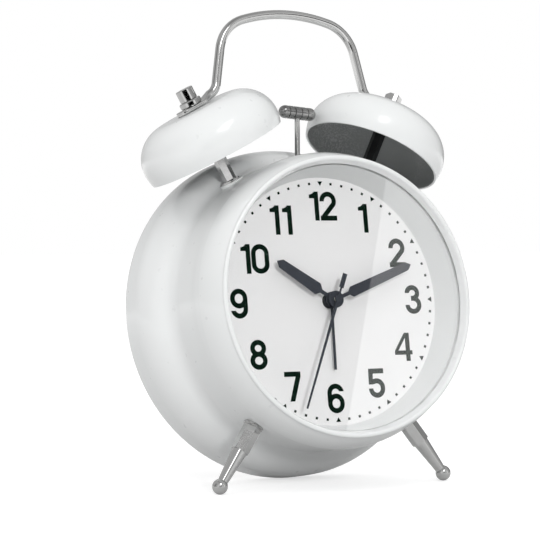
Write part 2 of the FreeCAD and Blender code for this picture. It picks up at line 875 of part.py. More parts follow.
def handle_half():
    """Named points (x, z) of the right half of the handle's centre line."""
    place = bell_place(1)
    tab_centre = place.multVec(Vector(0, 0, tab_z + tab_thickness / 2))
    foot_line = place.multVec(Vector(0, 0, tab_z + handle_radius + play))
    tab_heading = direction(180 - bell_tilt)
    corner_z = handle_top_z - handle_top_radius + math.sqrt(
        (handle_top_radius - handle_corner_radius) ** 2 - handle_corner_x**2
    )
    corner = Vector(handle_corner_x, 0, corner_z)
    side_out = direction(handle_side_lean)
    side_heading = direction(90 + handle_side_lean)
    side_top = corner + side_out * handle_corner_radius
    foot = crossing((side_top.x, side_top.z), side_heading, (foot_line.x, foot_line.z), tab_heading)
    bend = 180 - bell_tilt - 90 - handle_side_lean
    tangent = handle_foot_bend * math.tan(math.radians(bend / 2))
    foot_point = Vector(foot[0], 0, foot[1])
    bend_low = foot_point - tab_heading * tangent
    return {
        "y": tab_centre.y,
        "bend": bend,
        "bend_low": bend_low,
        "bend_centre": bend_low + direction(90 - bell_tilt) * handle_foot_bend,
        "bend_high": foot_point + side_heading * tangent,
        "side_top": side_top,
        "corner_centre": corner,
        "top_angle": math.degrees(math.atan2(corner.z - handle_top_z + handle_top_radius, corner.x)),
    }


def rod_section(centre, heading):
    """Round section of the handle, in four arcs, across its centre line."""
    across = heading.cross(Vector(0, 1, 0))
    quarter = diagonal * handle_radius
    back = Vector(0, 1, 0)
    corners = [
        centre - back * quarter - across * quarter,
        centre + back * quarter - across * quarter,
        centre + back * quarter + across * quarter,
        centre - back * quarter + across * quarter,
    ]
    middles = [
        centre - across * handle_radius,
        centre + back * handle_radius,
        centre + across * handle_radius,
        centre - back * handle_radius,
    ]
    edges = []
    for side in range(4):
        edges.append(Part.Arc(corners[side], middles[side], corners[(side + 1) % 4]).toShape())
    return Part.Wire(edges)


def make_handle_tab():
    """Flat drilled end of the handle on the right bell, with its short run from flat to round."""
    low = tab_z
    high = tab_z + tab_thickness
    half_width = tab_width / 2
    round_centre = tab_reach - half_width
    flat = Part.makeBox(tab_flat + round_centre, tab_width, tab_thickness)
    flat.translate(Vector(-tab_flat, -half_width, low))
    end = Part.makeCylinder(half_width, tab_thickness, Vector(round_centre, 0, low))
    tab = flat.fuse(end).cut(local_rod(stud_hole_radius, low, high))
    corners = [(-half_width, low), (half_width, low), (half_width, high), (-half_width, high)]
    flat_points = [Vector(-tab_flat, across, up) for across, up in corners]
    place = bell_place(1)
    flat_section = Part.makePolygon([place.multVec(point) for point in flat_points + [flat_points[0]]])
    half = handle_half()
    start = Vector(half["bend_low"].x, half["y"], half["bend_low"].z)
    neck = Part.makeLoft([flat_section, rod_section(start, direction(180 - bell_tilt))], True, True)
    return [placed(tab, place), neck]


def make_handle():
    """Bent round rod whose flattened, drilled ends lie on the crowns of the bells."""
    half = handle_half()
    out_of_dial = Vector(0, half["y"], 0)
    heading = direction(180 - bell_tilt)
    turn_right = Vector(0, 1, 0)
    turn_left = Vector(0, -1, 0)
    low = Part.Face(rod_section(half["bend_low"] + out_of_dial, heading))
    bend = low.revolve(half["bend_centre"] + out_of_dial, turn_right, half["bend"])
    high = Part.Face(rod_section(half["bend_high"] + out_of_dial, direction(90 + handle_side_lean)))
    straight = high.extrude(half["side_top"] - half["bend_high"])
    knee = Part.Face(rod_section(half["side_top"] + out_of_dial, direction(90 + handle_side_lean)))
    corner_turn = half["top_angle"] - handle_side_lean
    corner = knee.revolve(half["corner_centre"] + out_of_dial, turn_left, corner_turn)
    apex = Part.Face(rod_section(Vector(0, half["y"], handle_top_z), direction(0)))
    top_centre = Vector(0, half["y"], handle_top_z - handle_top_radius)
    arch = apex.revolve(top_centre, turn_right, 90 - half["top_angle"])
    right = [bend, straight, corner, arch] + make_handle_tab()
    left = [piece.mirror(Vector(0, 0, 0), Vector(1, 0, 0)) for piece in right]
    return fused(right + left)


def make_leg(side):
    """Turned leg: threaded stud, hexagonal root, long taper and a ball foot."""
    hex_top = washer_thickness + leg_hex_length
    neck_z = leg_length - math.sqrt(leg_ball_radius**2 - leg_tip_radius**2)
    taper = spun([
        (0.0, washer_thickness),
        (leg_cone_radius, washer_thickness),
        (leg_cone_radius, hex_top),
        (leg_tip_radius, neck_z),
        ((leg_ball_radius, leg_length), (0.0, leg_length + leg_ball_radius)),
    ])
    root = hexagon(leg_flats, washer_thickness, hex_top)
    stud = local_rod(stud_radius, -sheet - play - lock_nut_height - stud_radius, washer_thickness)
    return placed(root.fuse(taper).fuse(stud), leg_place(side))


# ------------------------------------------------------------------ clock movement
def plate_posts(front, back):
    """Four short pillars near the corners of the movement."""
    left = -movement_half_width + plate_post_inset
    right = movement_half_width - plate_post_inset
    low = movement_bottom + plate_post_inset
    high = movement_top - plate_post_inset
    corners = ((left, low), (right, low), (left, high), (right, high))
    return [rod(plate_post_radius, front, back, corner) for corner in corners]


def make_front_plate():
    """Moulded front plate with its centre bush and the pillars under the middle plate."""
    plate = slab(
        (-movement_half_width, movement_half_width),
        (flange_front, plate_back),
        (movement_bottom, movement_top),
        movement_corner,
    )
    bush = rod(bush_outer_radius, flange_front - bush_height, plate_back)
    body = fused([plate, bush] + plate_posts(plate_back, middle_plate_y))
    body = body.cut(rod(alarm_pipe_radius + pipe_gap, flange_front - bush_height, plate_back))
    pocket_front = flange_front + movement_wall / 4
    body = body.cut(rod(motion_arbor_radius + running_gap, pocket_front, plate_back, motion_axis))
    for axis in (time_stem_axis, alarm_stem_axis):
        body = body.cut(rod(stem_pivot_radius + running_gap, pocket_front, plate_back, axis))
    return body


def make_middle_plate():
    """Thin plate that carries the back pivots of the motion work and the front ones of the train."""
    edge = movement_wall + play
    plate = slab(
        (-movement_half_width + edge, movement_half_width - edge),
        (middle_plate_y, middle_plate_back),
        (movement_bottom + edge, movement_top - edge),
        movement_corner - edge,
    )
    holes = [
        (minute_pipe_radius, centre_axis),
        (motion_arbor_radius, motion_axis),
        (arbor_radius, third_axis),
        (arbor_radius, step_axis),
        (arbor_radius, rotor_axis),
        (stem_radius, time_stem_axis),
        (stem_radius, alarm_stem_axis),
    ]
    for radius, axis in holes:
        plate = plate.cut(rod(radius + running_gap, middle_plate_y, middle_plate_back, axis))
    return plate


def make_housing():
    """Moulded back half of the movement: side walls, back wall, pillars, board pegs and bearings."""
    outer = slab(
        (-movement_half_width, movement_half_width),
        (plate_back, movement_depth),
        (movement_bottom, movement_top),
        movement_corner,
    )
    cavity = slab(
        (-movement_half_width + movement_wall, movement_half_width - movement_wall),
        (plate_back, back_wall_front),
        (movement_bottom + movement_wall, movement_top - movement_wall),
        movement_corner - movement_wall,
    )
    pegs = [rod(board_peg_radius, board_back, back_wall_front, peg) for peg in board_pegs]
    body = fused([outer.cut(cavity)] + plate_posts(middle_plate_back, back_wall_front) + pegs)
    for axis in (centre_axis, third_axis, step_axis, rotor_axis):
        radius = second_arbor_radius if axis == centre_axis else arbor_radius
        body = body.cut(rod(radius + running_gap, back_wall_front, pivot_end + hole_gap, axis))
    for axis in (time_stem_axis, alarm_stem_axis):
        body = body.cut(rod(stem_radius + running_gap, back_wall_front, movement_depth, axis))
    return body


def piped_wheel(wheel, outer, bore, pipe_front, back):
    """Wheel on a pipe that runs forward through the dial."""
    body = wheel.fuse(rod(outer, pipe_front, back))
    return body.cut(rod(bore, pipe_front, back))


def make_alarm_wheel():
    """Wheel behind the front plate that carries the alarm hand."""
    wheel = gear(alarm_teeth, motion_module, *alarm_wheel_y, centre_axis, alarm_phase)
    front = alarm_hand_y - pipe_proud
    return piped_wheel(wheel, alarm_pipe_radius, alarm_bore, front, alarm_wheel_y[1])


def make_hour_wheel():
    """Wheel on the pipe of the hour hand, one turn in twelve of the minute hand's."""
    wheel = gear(hour_teeth, hour_module, *hour_wheel_y, centre_axis, hour_phase)
    front = hour_hand_y - pipe_proud
    return piped_wheel(wheel, hour_pipe_radius, hour_bore, front, hour_wheel_y[1])


def make_minute_arbor():
    """Cannon pinion: pinion, long pipe and the collar that holds the centre wheel against it."""
    pinion = gear(minute_teeth, motion_module, *minute_pinion_y, centre_axis, minute_phase)
    collar = rod(minute_pipe_radius + bush_wall, *minute_collar_y)
    front = minute_hand_y - pipe_proud
    return piped_wheel(pinion.fuse(collar), minute_pipe_radius, minute_bore, front, minute_collar_y[1])


def make_motion_wheel():
    """Wheel and pinion that step the minute hand's turns down to the hour hand's."""
    wheel = gear(motion_teeth, motion_module, *motion_wheel_y, motion_axis, motion_phase)
    pinion = gear(hour_pinion_teeth, hour_module, *hour_pinion_y, motion_axis, motion_phase)
    arbor_front = flange_front + movement_wall / 2
    arbor = rod(motion_arbor_radius, arbor_front, middle_plate_back - hole_gap, motion_axis)
    return fused([wheel, pinion, arbor])


def make_centre_wheel():
    """Wheel that slips on the minute hand's pipe when the time is set."""
    wheel = gear(centre_teeth, train_centre_module, *centre_wheel_y, centre_axis, centre_phase)
    return wheel.cut(rod(minute_pipe_radius + running_gap, *centre_wheel_y))


def make_third_wheel():
    """Wheel and pinion between the second hand's arbor and the centre wheel."""
    pinion = gear(third_pinion_teeth, train_centre_module, *third_pinion_y, third_axis, third_phase)
    wheel = gear(third_teeth, train_module, *third_wheel_y, third_axis, third_phase)
    arbor = rod(arbor_radius, middle_plate_y + hole_gap, pivot_end, third_axis)
    return fused([pinion, wheel, arbor])


def make_second_wheel():
    """Wheel and pinion on the long arbor of the second hand."""
    pinion = gear(second_pinion_teeth, train_module, *second_pinion_y, centre_axis, second_phase)
    wheel = gear(second_teeth, train_module, *second_wheel_y, centre_axis, second_phase)
    arbor = rod(second_arbor_radius, second_hand_y - hand_thickness / 2 + hole_gap, pivot_end)
    return fused([pinion, wheel, arbor])


def make_intermediate_wheel():
    """Wheel and pinion between the rotor and the second hand's wheel."""
    wheel = gear(step_teeth, train_module, *step_wheel_y, step_axis, step_phase)
    pinion = gear(step_pinion_teeth, train_module, *step_pinion_y, step_axis, step_phase)
    arbor = rod(arbor_radius, middle_plate_y + hole_gap, pivot_end, step_axis)
    return fused([wheel, pinion, arbor])


def make_rotor():
    """Magnet disc and pinion on one fine arbor."""
    pinion = gear(rotor_teeth, train_module, *rotor_pinion_y, rotor_axis, rotor_phase)
    magnet = rod(magnet_radius, *magnet_y, rotor_axis)
    arbor = rod(arbor_radius, middle_plate_y + hole_gap, pivot_end, rotor_axis)
    return fused([pinion, magnet, arbor])


def make_stator():
    """Soft-iron plate round the rotor, with two legs and the coil's core between them."""
    leg_end = coil_z - core_height / 2 - stator_leg_lap
    plate = slab((stator_left, stator_right), stator_y, (stator_bottom, stator_top))
    left = slab((stator_left, stator_left + stator_leg), stator_y, (leg_end, stator_bottom))
    right = slab((stator_right - stator_leg, stator_right), stator_y, (leg_end, stator_bottom))
    core = slab(
        (stator_left, stator_right), stator_y, (coil_z - core_height / 2, coil_z + core_height / 2)
    )
    body = fused([plate, left, right, core])
    return body.cut(rod(magnet_radius + magnet_gap, *stator_y, rotor_axis))


def bobbin_bar(grow):
    """Square bar round the stator's core, from flange to flange."""
    half_depth = stator_thickness / 2 + running_gap + grow
    half_height = core_height / 2 + running_gap + grow
    return slab(
        (coil_left, coil_right),
        (core_y - half_depth, core_y + half_depth),
        (coil_z - half_height, coil_z + half_height),
    )


def make_bobbin():
    """Square tube with an end flange on each side of the winding."""
    half = flange_size / 2
    flanges = []
    for left in (coil_left, coil_right - flange_thickness):
        flanges.append(slab(
            (left, left + flange_thickness), (core_y - half, core_y + half), (coil_z - half, coil_z + half)
        ))
    return fused([bobbin_bar(bobbin_wall)] + flanges).cut(bobbin_bar(0.0))


def make_winding():
    """Copper winding, drawn as one solid drum on the bobbin."""
    length = coil_right - coil_left - 2 * flange_thickness
    start = Vector(coil_left + flange_thickness, core_y, coil_z)
    return Part.makeCylinder(coil_radius, length, start, Vector(1, 0, 0)).cut(bobbin_bar(bobbin_wall))


def make_board():
    """Circuit board on two pegs of the back wall."""
    return slab(
        (board_left, board_right), (board_back - board_thickness, board_back), (board_bottom, board_top)
    )


def make_crystal():
    """Quartz resonator can lying on the board."""
    centre_y = board_back - board_thickness - crystal_radius
    start = Vector(board_left + crystal_along, centre_y, board_bottom + crystal_up)
    return Part.makeCylinder(crystal_radius, crystal_length, start, Vector(1, 0, 0))


# ------------------------------------------------------------------ setting stems and knobs
def make_stem(axis, pinion_y, phase):
    """Long setting stem with its pinion inside the movement."""
    pinion = gear(setting_teeth, motion_module, *pinion_y, axis, phase)
    front = rod(stem_pivot_radius, plate_back - stem_pivot_length, stem_shoulder, axis)
    bar = rod(stem_radius, stem_shoulder, stem_back, axis)
    return fused([pinion, front, bar])


def make_knob(axis):
    """Fluted knob with a hub that reaches through the cover."""
    grip = rounded_rim(rod(knob_radius, knob_front, knob_back, axis), knob_back, knob_flute_radius)
    for flute in range(knob_flutes):
        centre = at_bearing(axis, knob_radius + knob_flute_radius / 3, flute * 360 / knob_flutes)
        grip = grip.cut(rod(knob_flute_radius, knob_front, knob_back, centre))
    hub = rod(knob_hub_radius, cover_y - cover_thickness, knob_front, axis)
    bore = rod(stem_radius + press_gap, cover_y - cover_thickness, stem_back + hole_gap, axis)
    return fused([grip, hub]).cut(bore)


# ------------------------------------------------------------------ striker
def swing_place():
    """Local frame at the hammer's pivot: its Z axis runs up the arm."""
    return Placement(Vector(0, 0, hammer_pivot_z), Rotation(Vector(0, 1, 0), hammer_rest_angle))


def make_hammer_lever():
    """Hub with a socket for the arm above and a forked tail round the crank pin below."""
    half = lever_width / 2
    tail = cut_from_sheet(
        [
            (-half / 2, 0.0),
            (-half, -crank_drop),
            (-half, -lever_length),
            (half, -lever_length),
            (half, -crank_drop),
            (half / 2, 0.0),
        ],
        lever_front,
        lever_back,
    )
    slot_top = -crank_drop + crank_throw + fork_slot
    slot = slab(
        (-fork_slot / 2, fork_slot / 2), (lever_front, lever_back), (-lever_length - play, slot_top)
    )
    half_hub = lever_hub_length / 2
    hub = rod(lever_hub_radius, hammer_y - half_hub, hammer_y + half_hub)
    socket_end = Vector(0, hammer_y, 0)
    socket = Part.makeCylinder(hammer_arm_radius + socket_wall, 2 * lever_hub_radius, socket_end)
    body = fused([tail.cut(slot), hub, socket])
    body = body.cut(rod(pivot_radius + running_gap, hammer_y - half_hub, hammer_y + half_hub))
    arm_seat = Vector(0, hammer_y, lever_hub_radius)
    body = body.cut(Part.makeCylinder(hammer_arm_radius + press_gap, 2 * lever_hub_radius, arm_seat))
    return placed(body, swing_place())


def make_hammer_arm():
    """Straight wire from the lever's socket up into the head."""
    foot = Vector(0, hammer_y, lever_hub_radius)
    length = hammer_reach - lever_hub_radius
    return placed(Part.makeCylinder(hammer_arm_radius, length, foot), swing_place())


def make_hammer_head():
    """Round-ended striker across the arm, with a groove near each end, drilled for the arm."""
    half = hammer_head_length / 2
    radius = hammer_head_radius
    round_start = half - head_round
    bulge = radius - head_round * (1 - diagonal)
    groove = round_start - head_groove
    floor = radius - head_groove / 2
    head = spun([
        (0.0, -half),
        (radius - head_round, -half),
        ((bulge, -half + radius - bulge), (radius, -round_start)),
        (radius, -groove - head_groove / 2),
        (floor, -groove - head_groove / 2),
        (floor, -groove + head_groove / 2),
        (radius, -groove + head_groove / 2),
        (radius, groove - head_groove / 2),
        (floor, groove - head_groove / 2),
        (floor, groove + head_groove / 2),
        (radius, groove + head_groove / 2),
        (radius, round_start),
        ((bulge, half - radius + bulge), (radius - head_round, half)),
        (0.0, half),
    ])
    lie = Placement(Vector(0, hammer_y, hammer_reach), Rotation(Vector(0, 1, 0), 90))
    head = placed(head, lie)
    bore_start = Vector(0, hammer_y, hammer_reach - 2 * radius)
    bore = Part.makeCylinder(hammer_arm_radius + press_gap, 2 * radius + hole_gap, bore_start)
    return placed(head.cut(bore), swing_place())


def make_pivot_pin():
    """Headed pin that the hammer's lever swings on, pressed into the chassis."""
    head_back = hammer_y - lever_hub_length / 2 - hole_gap
    head = rod(pivot_radius + sheet, head_back - sheet, head_back, pivot)
    return fused([head, rod(pivot_radius, head_back, chassis_back - hole_gap, pivot)])


def make_crank_gear():
    """Crank wheel with its shaft and its eccentric pin, which points into the lever's fork."""
    wheel = gear(crank_teeth, crank_module, crank_gear_y, crank_gear_back, crank_pivot, crank_phase)
    shaft = rod(pivot_radius, crank_gear_back, chassis_back - 2 * hole_gap, crank_pivot)
    tilt = math.radians(hammer_rest_angle)
    along = crank_drop * math.cos(tilt) - math.sqrt(crank_throw**2 - (crank_drop * math.sin(tilt)) ** 2)
    pin_axis = (-along * math.sin(tilt), hammer_pivot_z - along * math.cos(tilt))
    pin = rod(crank_pin_radius, lever_back + play, crank_gear_y, pin_axis)
    return fused([wheel, shaft, pin])


def make_crank_clip():
    """Ring on the shaft's end, in a recess of the chassis."""
    front = chassis_back - clip_recess_depth + hole_gap
    return tube(clip_radius, pivot_radius + press_gap, front, front + clip_thickness, crank_pivot)


def make_motor_can():
    """Small direct-current motor: round can with two flats and a front bearing boss."""
    can = rod(motor_radius, chassis_back, chassis_back + motor_length, motor_axis)
    flat_box = slab(
        (motor_axis[0] - motor_radius, motor_axis[0] + motor_radius),
        (chassis_back, chassis_back + motor_length),
        (crank_z - motor_flats / 2, crank_z + motor_flats / 2),
    )
    boss_front = chassis_back - motor_boss_height
    boss = rod(motor_boss_radius, boss_front, chassis_back, motor_axis)
    hole_end = chassis_back + motor_shaft_depth
    shaft_hole = rod(motor_shaft_radius + running_gap, boss_front, hole_end, motor_axis)
    return fused([can.common(flat_box), boss]).cut(shaft_hole)


def make_motor_pinion():
    """Motor shaft with the small pinion that drives the crank wheel."""
    front = crank_gear_y - play
    pinion = gear(motor_teeth, crank_module, front, crank_gear_back + hole_gap, motor_axis, motor_phase)
    shaft_end = chassis_back + motor_shaft_depth - hole_gap
    return fused([pinion, rod(motor_shaft_radius, front, shaft_end, motor_axis)])


# ------------------------------------------------------------------ chassis, back cover and battery
def make_chassis():
    """Moulded frame between the front flange and the back cover; it clamps the movement in place."""
    column_circle = chassis_radius - column_radius - chassis_edge
    pieces = [rod(chassis_radius, chassis_y, chassis_back)]
    for angle in column_angles:
        foot = at_bearing(centre_axis, column_circle, angle)
        pieces.append(rod(column_radius, flange_back, chassis_y, foot))
    for spot in chassis_pads:
        pieces.append(rod(pad_post_radius, movement_depth, chassis_y, spot))
    for angle in cover_boss_angles:
        spot = at_bearing(centre_axis, cover_boss_circle, angle)
        pieces.append(rod(cover_boss_radius, chassis_back, boss_top, spot))
    pieces.append(rod(pivot_boss_radius, pivot_boss_front, chassis_y, pivot))
    pieces.append(rod(pivot_boss_radius, crank_boss_front, chassis_y, crank_pivot))
    frame = fused(pieces)
    frame = frame.cut(rod(pivot_radius + press_gap, pivot_boss_front, chassis_back, pivot))
    frame = frame.cut(rod(pivot_radius + running_gap, crank_boss_front, chassis_back, crank_pivot))
    recess_front = chassis_back - clip_recess_depth
    frame = frame.cut(rod(clip_radius + play, recess_front, chassis_back, crank_pivot))
    frame = frame.cut(rod(motor_boss_radius + running_gap, chassis_y, chassis_back, motor_axis))
    for axis in (time_stem_axis, alarm_stem_axis):
        frame = frame.cut(rod(stem_radius + play, chassis_y, chassis_back, axis))
    for angle in cover_boss_angles:
        spot = at_bearing(centre_axis, cover_boss_circle, angle)
        frame = frame.cut(rod(screw_radius + press_gap, boss_top - screw_length, boss_top, spot))
    return frame


def make_back_cover():
    """Moulded cover with a skirt, sunk screw wells, the battery bay and holes for knobs and switch."""
    plate = rounded_rim(rod(cover_radius, cover_y, cover_back), cover_back, play)
    skirt_radius = cover_radius - hole_gap
    skirt = tube(skirt_radius, skirt_radius - cover_skirt_wall, cover_y - cover_skirt_depth, cover_y)
    bay = slab(
        (-bay_half_length, bay_half_length),
        (bay_floor_y, cover_y),
        (battery_z - bay_half_height, battery_z + bay_half_height),
    )
    pieces = [plate, skirt, bay]
    wells = []
    screws = []
    for angle in cover_boss_angles:
        spot = at_bearing(centre_axis, cover_boss_circle, angle)
        well = screw_head_radius + play
        pieces.append(rod(well + screw_well_wall, boss_top, cover_y, spot))
        wells.append(rod(well, screw_seat, cover_back, spot))
        screws.append(rod(screw_radius + hole_gap, boss_top, screw_seat, spot))
    cover = fused(pieces)
    inside = slab(
        (-bay_half_length + bay_wall, bay_half_length - bay_wall),
        (bay_floor_y + bay_wall, cover_back),
        (battery_z - bay_half_height + bay_wall, battery_z + bay_half_height - bay_wall),
    )
    opening = slab(
        (-door_half_length - play, door_half_length + play),
        (cover_y, cover_back),
        (door_low - play, door_high + play),
    )
    cover = cover.cut(inside).cut(opening)
    pin_length = 2 * (door_half_length + door_pin_length + hole_gap)
    pin_start = Vector(-pin_length / 2, hinge_y, hinge_z)
    pin_holes = Part.makeCylinder(door_pin_radius + running_gap, pin_length, pin_start, Vector(1, 0, 0))
    cover = cover.cut(pin_holes)
    for axis in (time_stem_axis, alarm_stem_axis):
        cover = cover.cut(rod(knob_hub_radius + 2 * hole_gap, cover_y, cover_back, axis))
    slot_half = (switch_neck + switch_travel) / 2 + play
    slot = slab(
        (-slot_half, slot_half),
        (cover_y, cover_back),
        (switch_z - switch_neck / 2 - hole_gap, switch_z + switch_neck / 2 + hole_gap),
    )
    for cutter in wells + screws + [slot]:
        cover = cover.cut(cutter)
    return cover


def make_battery_door():
    """Flush door with a rounded lower edge, on two short pins in the cover."""
    leaf = slab((-door_half_length, door_half_length), (door_front, cover_back), (hinge_z, door_high))
    knuckle_start = Vector(-door_half_length, hinge_y, hinge_z)
    knuckle = Part.makeCylinder(hinge_radius, 2 * door_half_length, knuckle_start, Vector(1, 0, 0))
    pin_length = 2 * (door_half_length + door_pin_length)
    pin_start = Vector(-pin_length / 2, hinge_y, hinge_z)
    pins = Part.makeCylinder(door_pin_radius, pin_length, pin_start, Vector(1, 0, 0))
    grip = rod(door_grip_radius, cover_back - sheet / 2, cover_back + door_thickness, (0.0, door_high))
    return fused([leaf, knuckle, pins]).cut(grip)


def make_battery():
    """AA cell with its raised positive end to the left."""
    body_start = Vector(battery_left + battery_nub_height, battery_y, battery_z)
    body_length = battery_length - battery_nub_height
    body = Part.makeCylinder(battery_radius, body_length, body_start, Vector(1, 0, 0))
    nub_start = Vector(battery_left, battery_y, battery_z)
    nub = Part.makeCylinder(battery_nub_radius, battery_nub_height, nub_start, Vector(1, 0, 0))
    return fused([body, nub])


def make_plate_contact():
    """Flat contact against the bay's end wall."""
    left = -bay_half_length + bay_wall
    half = contact_width / 2
    return slab(
        (left, left + contact_thickness),
        (battery_y - half, battery_y + half),
        (battery_z - half, battery_z + half),
    )


def make_spring_contact():
    """Bent strip that pushes the cell towards the other contact."""
    wall = bay_half_length - bay_wall
    strip = contact_thickness
    half = contact_width / 2
    front = battery_y - half
    back = battery_y + half
    steps = [
        (wall, front),
        (wall, back),
        (wall - strip, back),
        (wall - strip, front + strip),
        (battery_right + hole_gap + strip, battery_y),
        (wall - strip - play, back - play),
        (wall - strip - play, back - play + strip),
        (battery_right + hole_gap, battery_y),
        (wall - strip, front),
    ]
    face = outline(steps, lambda x, y: Vector(x, y, battery_z - half))
    return face.extrude(Vector(0, 0, contact_width))


def make_cover_screw(angle):
    """Pan-head screw sunk in a well of the cover."""
    spot = at_bearing(centre_axis, cover_boss_circle, angle)
    disc = rod(screw_head_radius, screw_seat, screw_head_back, spot)
    head = rounded_rim(disc, screw_head_back, screw_head_height / 2)
    shank = rod(screw_radius, boss_top - screw_length + hole_gap, screw_seat, spot)
    cross = slab(
        (spot[0] - screw_radius, spot[0] + screw_radius),
        (screw_head_back - sheet, screw_head_back),
        (spot[1] - play, spot[1] + play),
    )
    return fused([head, shank]).cut(cross)


def make_alarm_switch():
    """Sliding button: ribbed grip outside, neck through the slot and a keeper plate inside."""
    button = slab(
        (switch_x - switch_button_length / 2, switch_x + switch_button_length / 2),
        (button_front, button_back),
        (switch_z - switch_button_width / 2, switch_z + switch_button_width / 2),
        sheet,
    )
    for rib in (-1, 0, 1):
        groove_x = switch_x + rib * switch_button_length / 4
        button = button.cut(slab(
            (groove_x - play, groove_x + play),
            (button_back - play, button_back),
            (switch_z - switch_button_width / 2, switch_z + switch_button_width / 2),
        ))
    neck = slab(
        (switch_x - switch_neck / 2, switch_x + switch_neck / 2),
        (keeper_back, button_front),
        (switch_z - switch_neck / 2, switch_z + switch_neck / 2),
    )
    keeper = slab(
        (switch_x - switch_plate_length / 2, switch_x + switch_plate_length / 2),
        (keeper_back - switch_plate_thickness, keeper_back),
        (switch_z - switch_plate_width / 2, switch_z + switch_plate_width / 2),
    )
    return fused([button, neck, keeper])


def both_sides(make):
    """Left and right copies of a piece that is made for a side."""
    return Part.makeCompound([make(side) for side in (-1, 1)])


def bell_pieces(shape):
    """Copies of a local shape under both bells."""
    return Part.makeCompound([placed(shape, bell_place(side)) for side in (-1, 1)])


def leg_pieces(shape):
    """Copies of a local shape on both legs."""
    return Part.makeCompound([placed(shape, leg_place(side)) for side in (-1, 1)])


def build_nodes():
    """Every sub-part in the case's frame, by name."""
    hour_blade = bladed_hand(hour_hand_length, hour_hand_width, hour_hand_tip_width)
    minute_blade = bladed_hand(minute_hand_length, minute_hand_width, minute_hand_tip_width)
    alarm_blade = straight_hand(alarm_hand_length, alarm_hand_width, alarm_hand_width)
    nut_corner = lock_nut_flats / math.sqrt(3)
    leg_nut_top = math.sqrt(neck_inner_radius**2 - nut_corner**2) - neck_radius - press_gap
    return {
        "case_shell": make_case_shell(),
        "bezel": make_bezel(),
        "glass_lens": rod(glass_radius, glass_front, glass_back),
        "dial_ring": make_dial_ring(),
        "dial": tube(dial_radius + dial_tuck, bush_outer_radius + hole_gap, 0.0, dial_thickness),
        "back_cover": make_back_cover(),
        "chassis": make_chassis(),
        "cover_screws": Part.makeCompound([make_cover_screw(angle) for angle in cover_boss_angles]),
        "battery_door": make_battery_door(),
        "battery_cell": make_battery(),
        "battery_plate_contact": make_plate_contact(),
        "battery_spring_contact": make_spring_contact(),
        "alarm_switch": make_alarm_switch(),
        "left_bell": make_bell(-1),
        "right_bell": make_bell(1),
        "left_bell_post": make_bell_post(-1),
        "right_bell_post": make_bell_post(1),
        "post_washers": bell_pieces(washer(pad_height)),
        "post_lock_nuts": bell_pieces(nut(lock_nut_flats, -pad_backing - lock_nut_height, lock_nut_height)),
        "bell_nuts": bell_pieces(nut(bell_nut_flats, bell_nut_z, bell_nut_height)),
        "bell_cap_nuts": both_sides(make_cap_nut),
        "handle": make_handle(),
        "left_leg": make_leg(-1),
        "right_leg": make_leg(1),
        "leg_washers": leg_pieces(washer(0.0)),
        "leg_lock_nuts": leg_pieces(nut(lock_nut_flats, leg_nut_top - lock_nut_height, lock_nut_height)),
        "alarm_hand": make_hand(
            alarm_blade, alarm_hand_y, alarm_pipe_radius + press_gap, alarm_hand_angle, boss_radius
        ),
        "hour_hand": make_hand(
            hour_blade, hour_hand_y, hour_pipe_radius + press_gap, hour_hand_angle, boss_radius
        ),
        "minute_hand": make_hand(
            minute_blade, minute_hand_y, minute_pipe_radius + press_gap, minute_hand_angle, boss_radius
        ),
        "second_hand": make_second_hand(),
        "movement_front_plate": make_front_plate(),
        "movement_middle_plate": make_middle_plate(),
        "movement_housing": make_housing(),
        "alarm_wheel": make_alarm_wheel(),
        "hour_wheel": make_hour_wheel(),
        "minute_arbor": make_minute_arbor(),
        "motion_wheel": make_motion_wheel(),
        "centre_wheel": make_centre_wheel(),
        "third_wheel": make_third_wheel(),
        "second_wheel": make_second_wheel(),
        "intermediate_wheel": make_intermediate_wheel(),
        "stepper_rotor": make_rotor(),
        "stepper_stator": make_stator(),
        "coil_bobbin": make_bobbin(),
        "coil_winding": make_winding(),
        "circuit_board": make_board(),
        "quartz_crystal": make_crystal(),
        "time_set_stem": make_stem(time_stem_axis, time_pinion_y, time_pinion_phase),
        "time_set_knob": make_knob(time_stem_axis),
        "alarm_set_stem": make_stem(alarm_stem_axis, alarm_pinion_y, alarm_pinion_phase),
        "alarm_set_knob": make_knob(alarm_stem_axis),
        "hammer_lever": make_hammer_lever(),
        "hammer_arm": make_hammer_arm(),
        "hammer_head": make_hammer_head(),
        "hammer_pivot_pin": make_pivot_pin(),
        "crank_gear": make_crank_gear(),
        "crank_clip": make_crank_clip(),
        "motor_can": make_motor_can(),
        "motor_pinion": make_motor_pinion(),
    }


# ------------------------------------------------------------------ standing place
def lean_angle():
    """Lean that puts the ball feet and the rounded back edge of the case on one level."""
    foot = leg_place(1).multVec(Vector(0, 0, leg_length))
    edge_y = case_depth - back_edge_radius
    edge_z = -(drum_radius - back_edge_radius)
    run = edge_y - foot.y
    rise = edge_z - foot.z
    reach = math.hypot(run, rise)
    return math.degrees(math.atan2(rise, run) - math.asin((back_edge_radius - leg_ball_radius) / reach))


def standing_place(shapes):
    """Placement that leans the clock back and puts the middle of its footprint at the origin."""
    lean = Placement(Vector(0, 0, 0), Rotation(Vector(1, 0, 0), -lean_angle()))
    box = Part.makeCompound([placed(shape, lean) for shape in shapes]).optimalBoundingBox(False, False)
    shift = Vector(-(box.XMin + box.XMax) / 2, -(box.YMin + box.YMax) / 2, -box.ZMin)
    return Placement(shift, Rotation()).multiply(lean)


nodes = build_nodes()
clock_place = standing_place(nodes.values())
os.makedirs("parts", exist_ok=True)
for name, shape in nodes.items():
    placed(shape, clock_place).exportStep(os.path.join("parts", name + ".step"))
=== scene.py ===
import json
import math

import bmesh
import bpy
from mathutils import Matrix, Vector
from mathutils.geometry import delaunay_2d_cdt


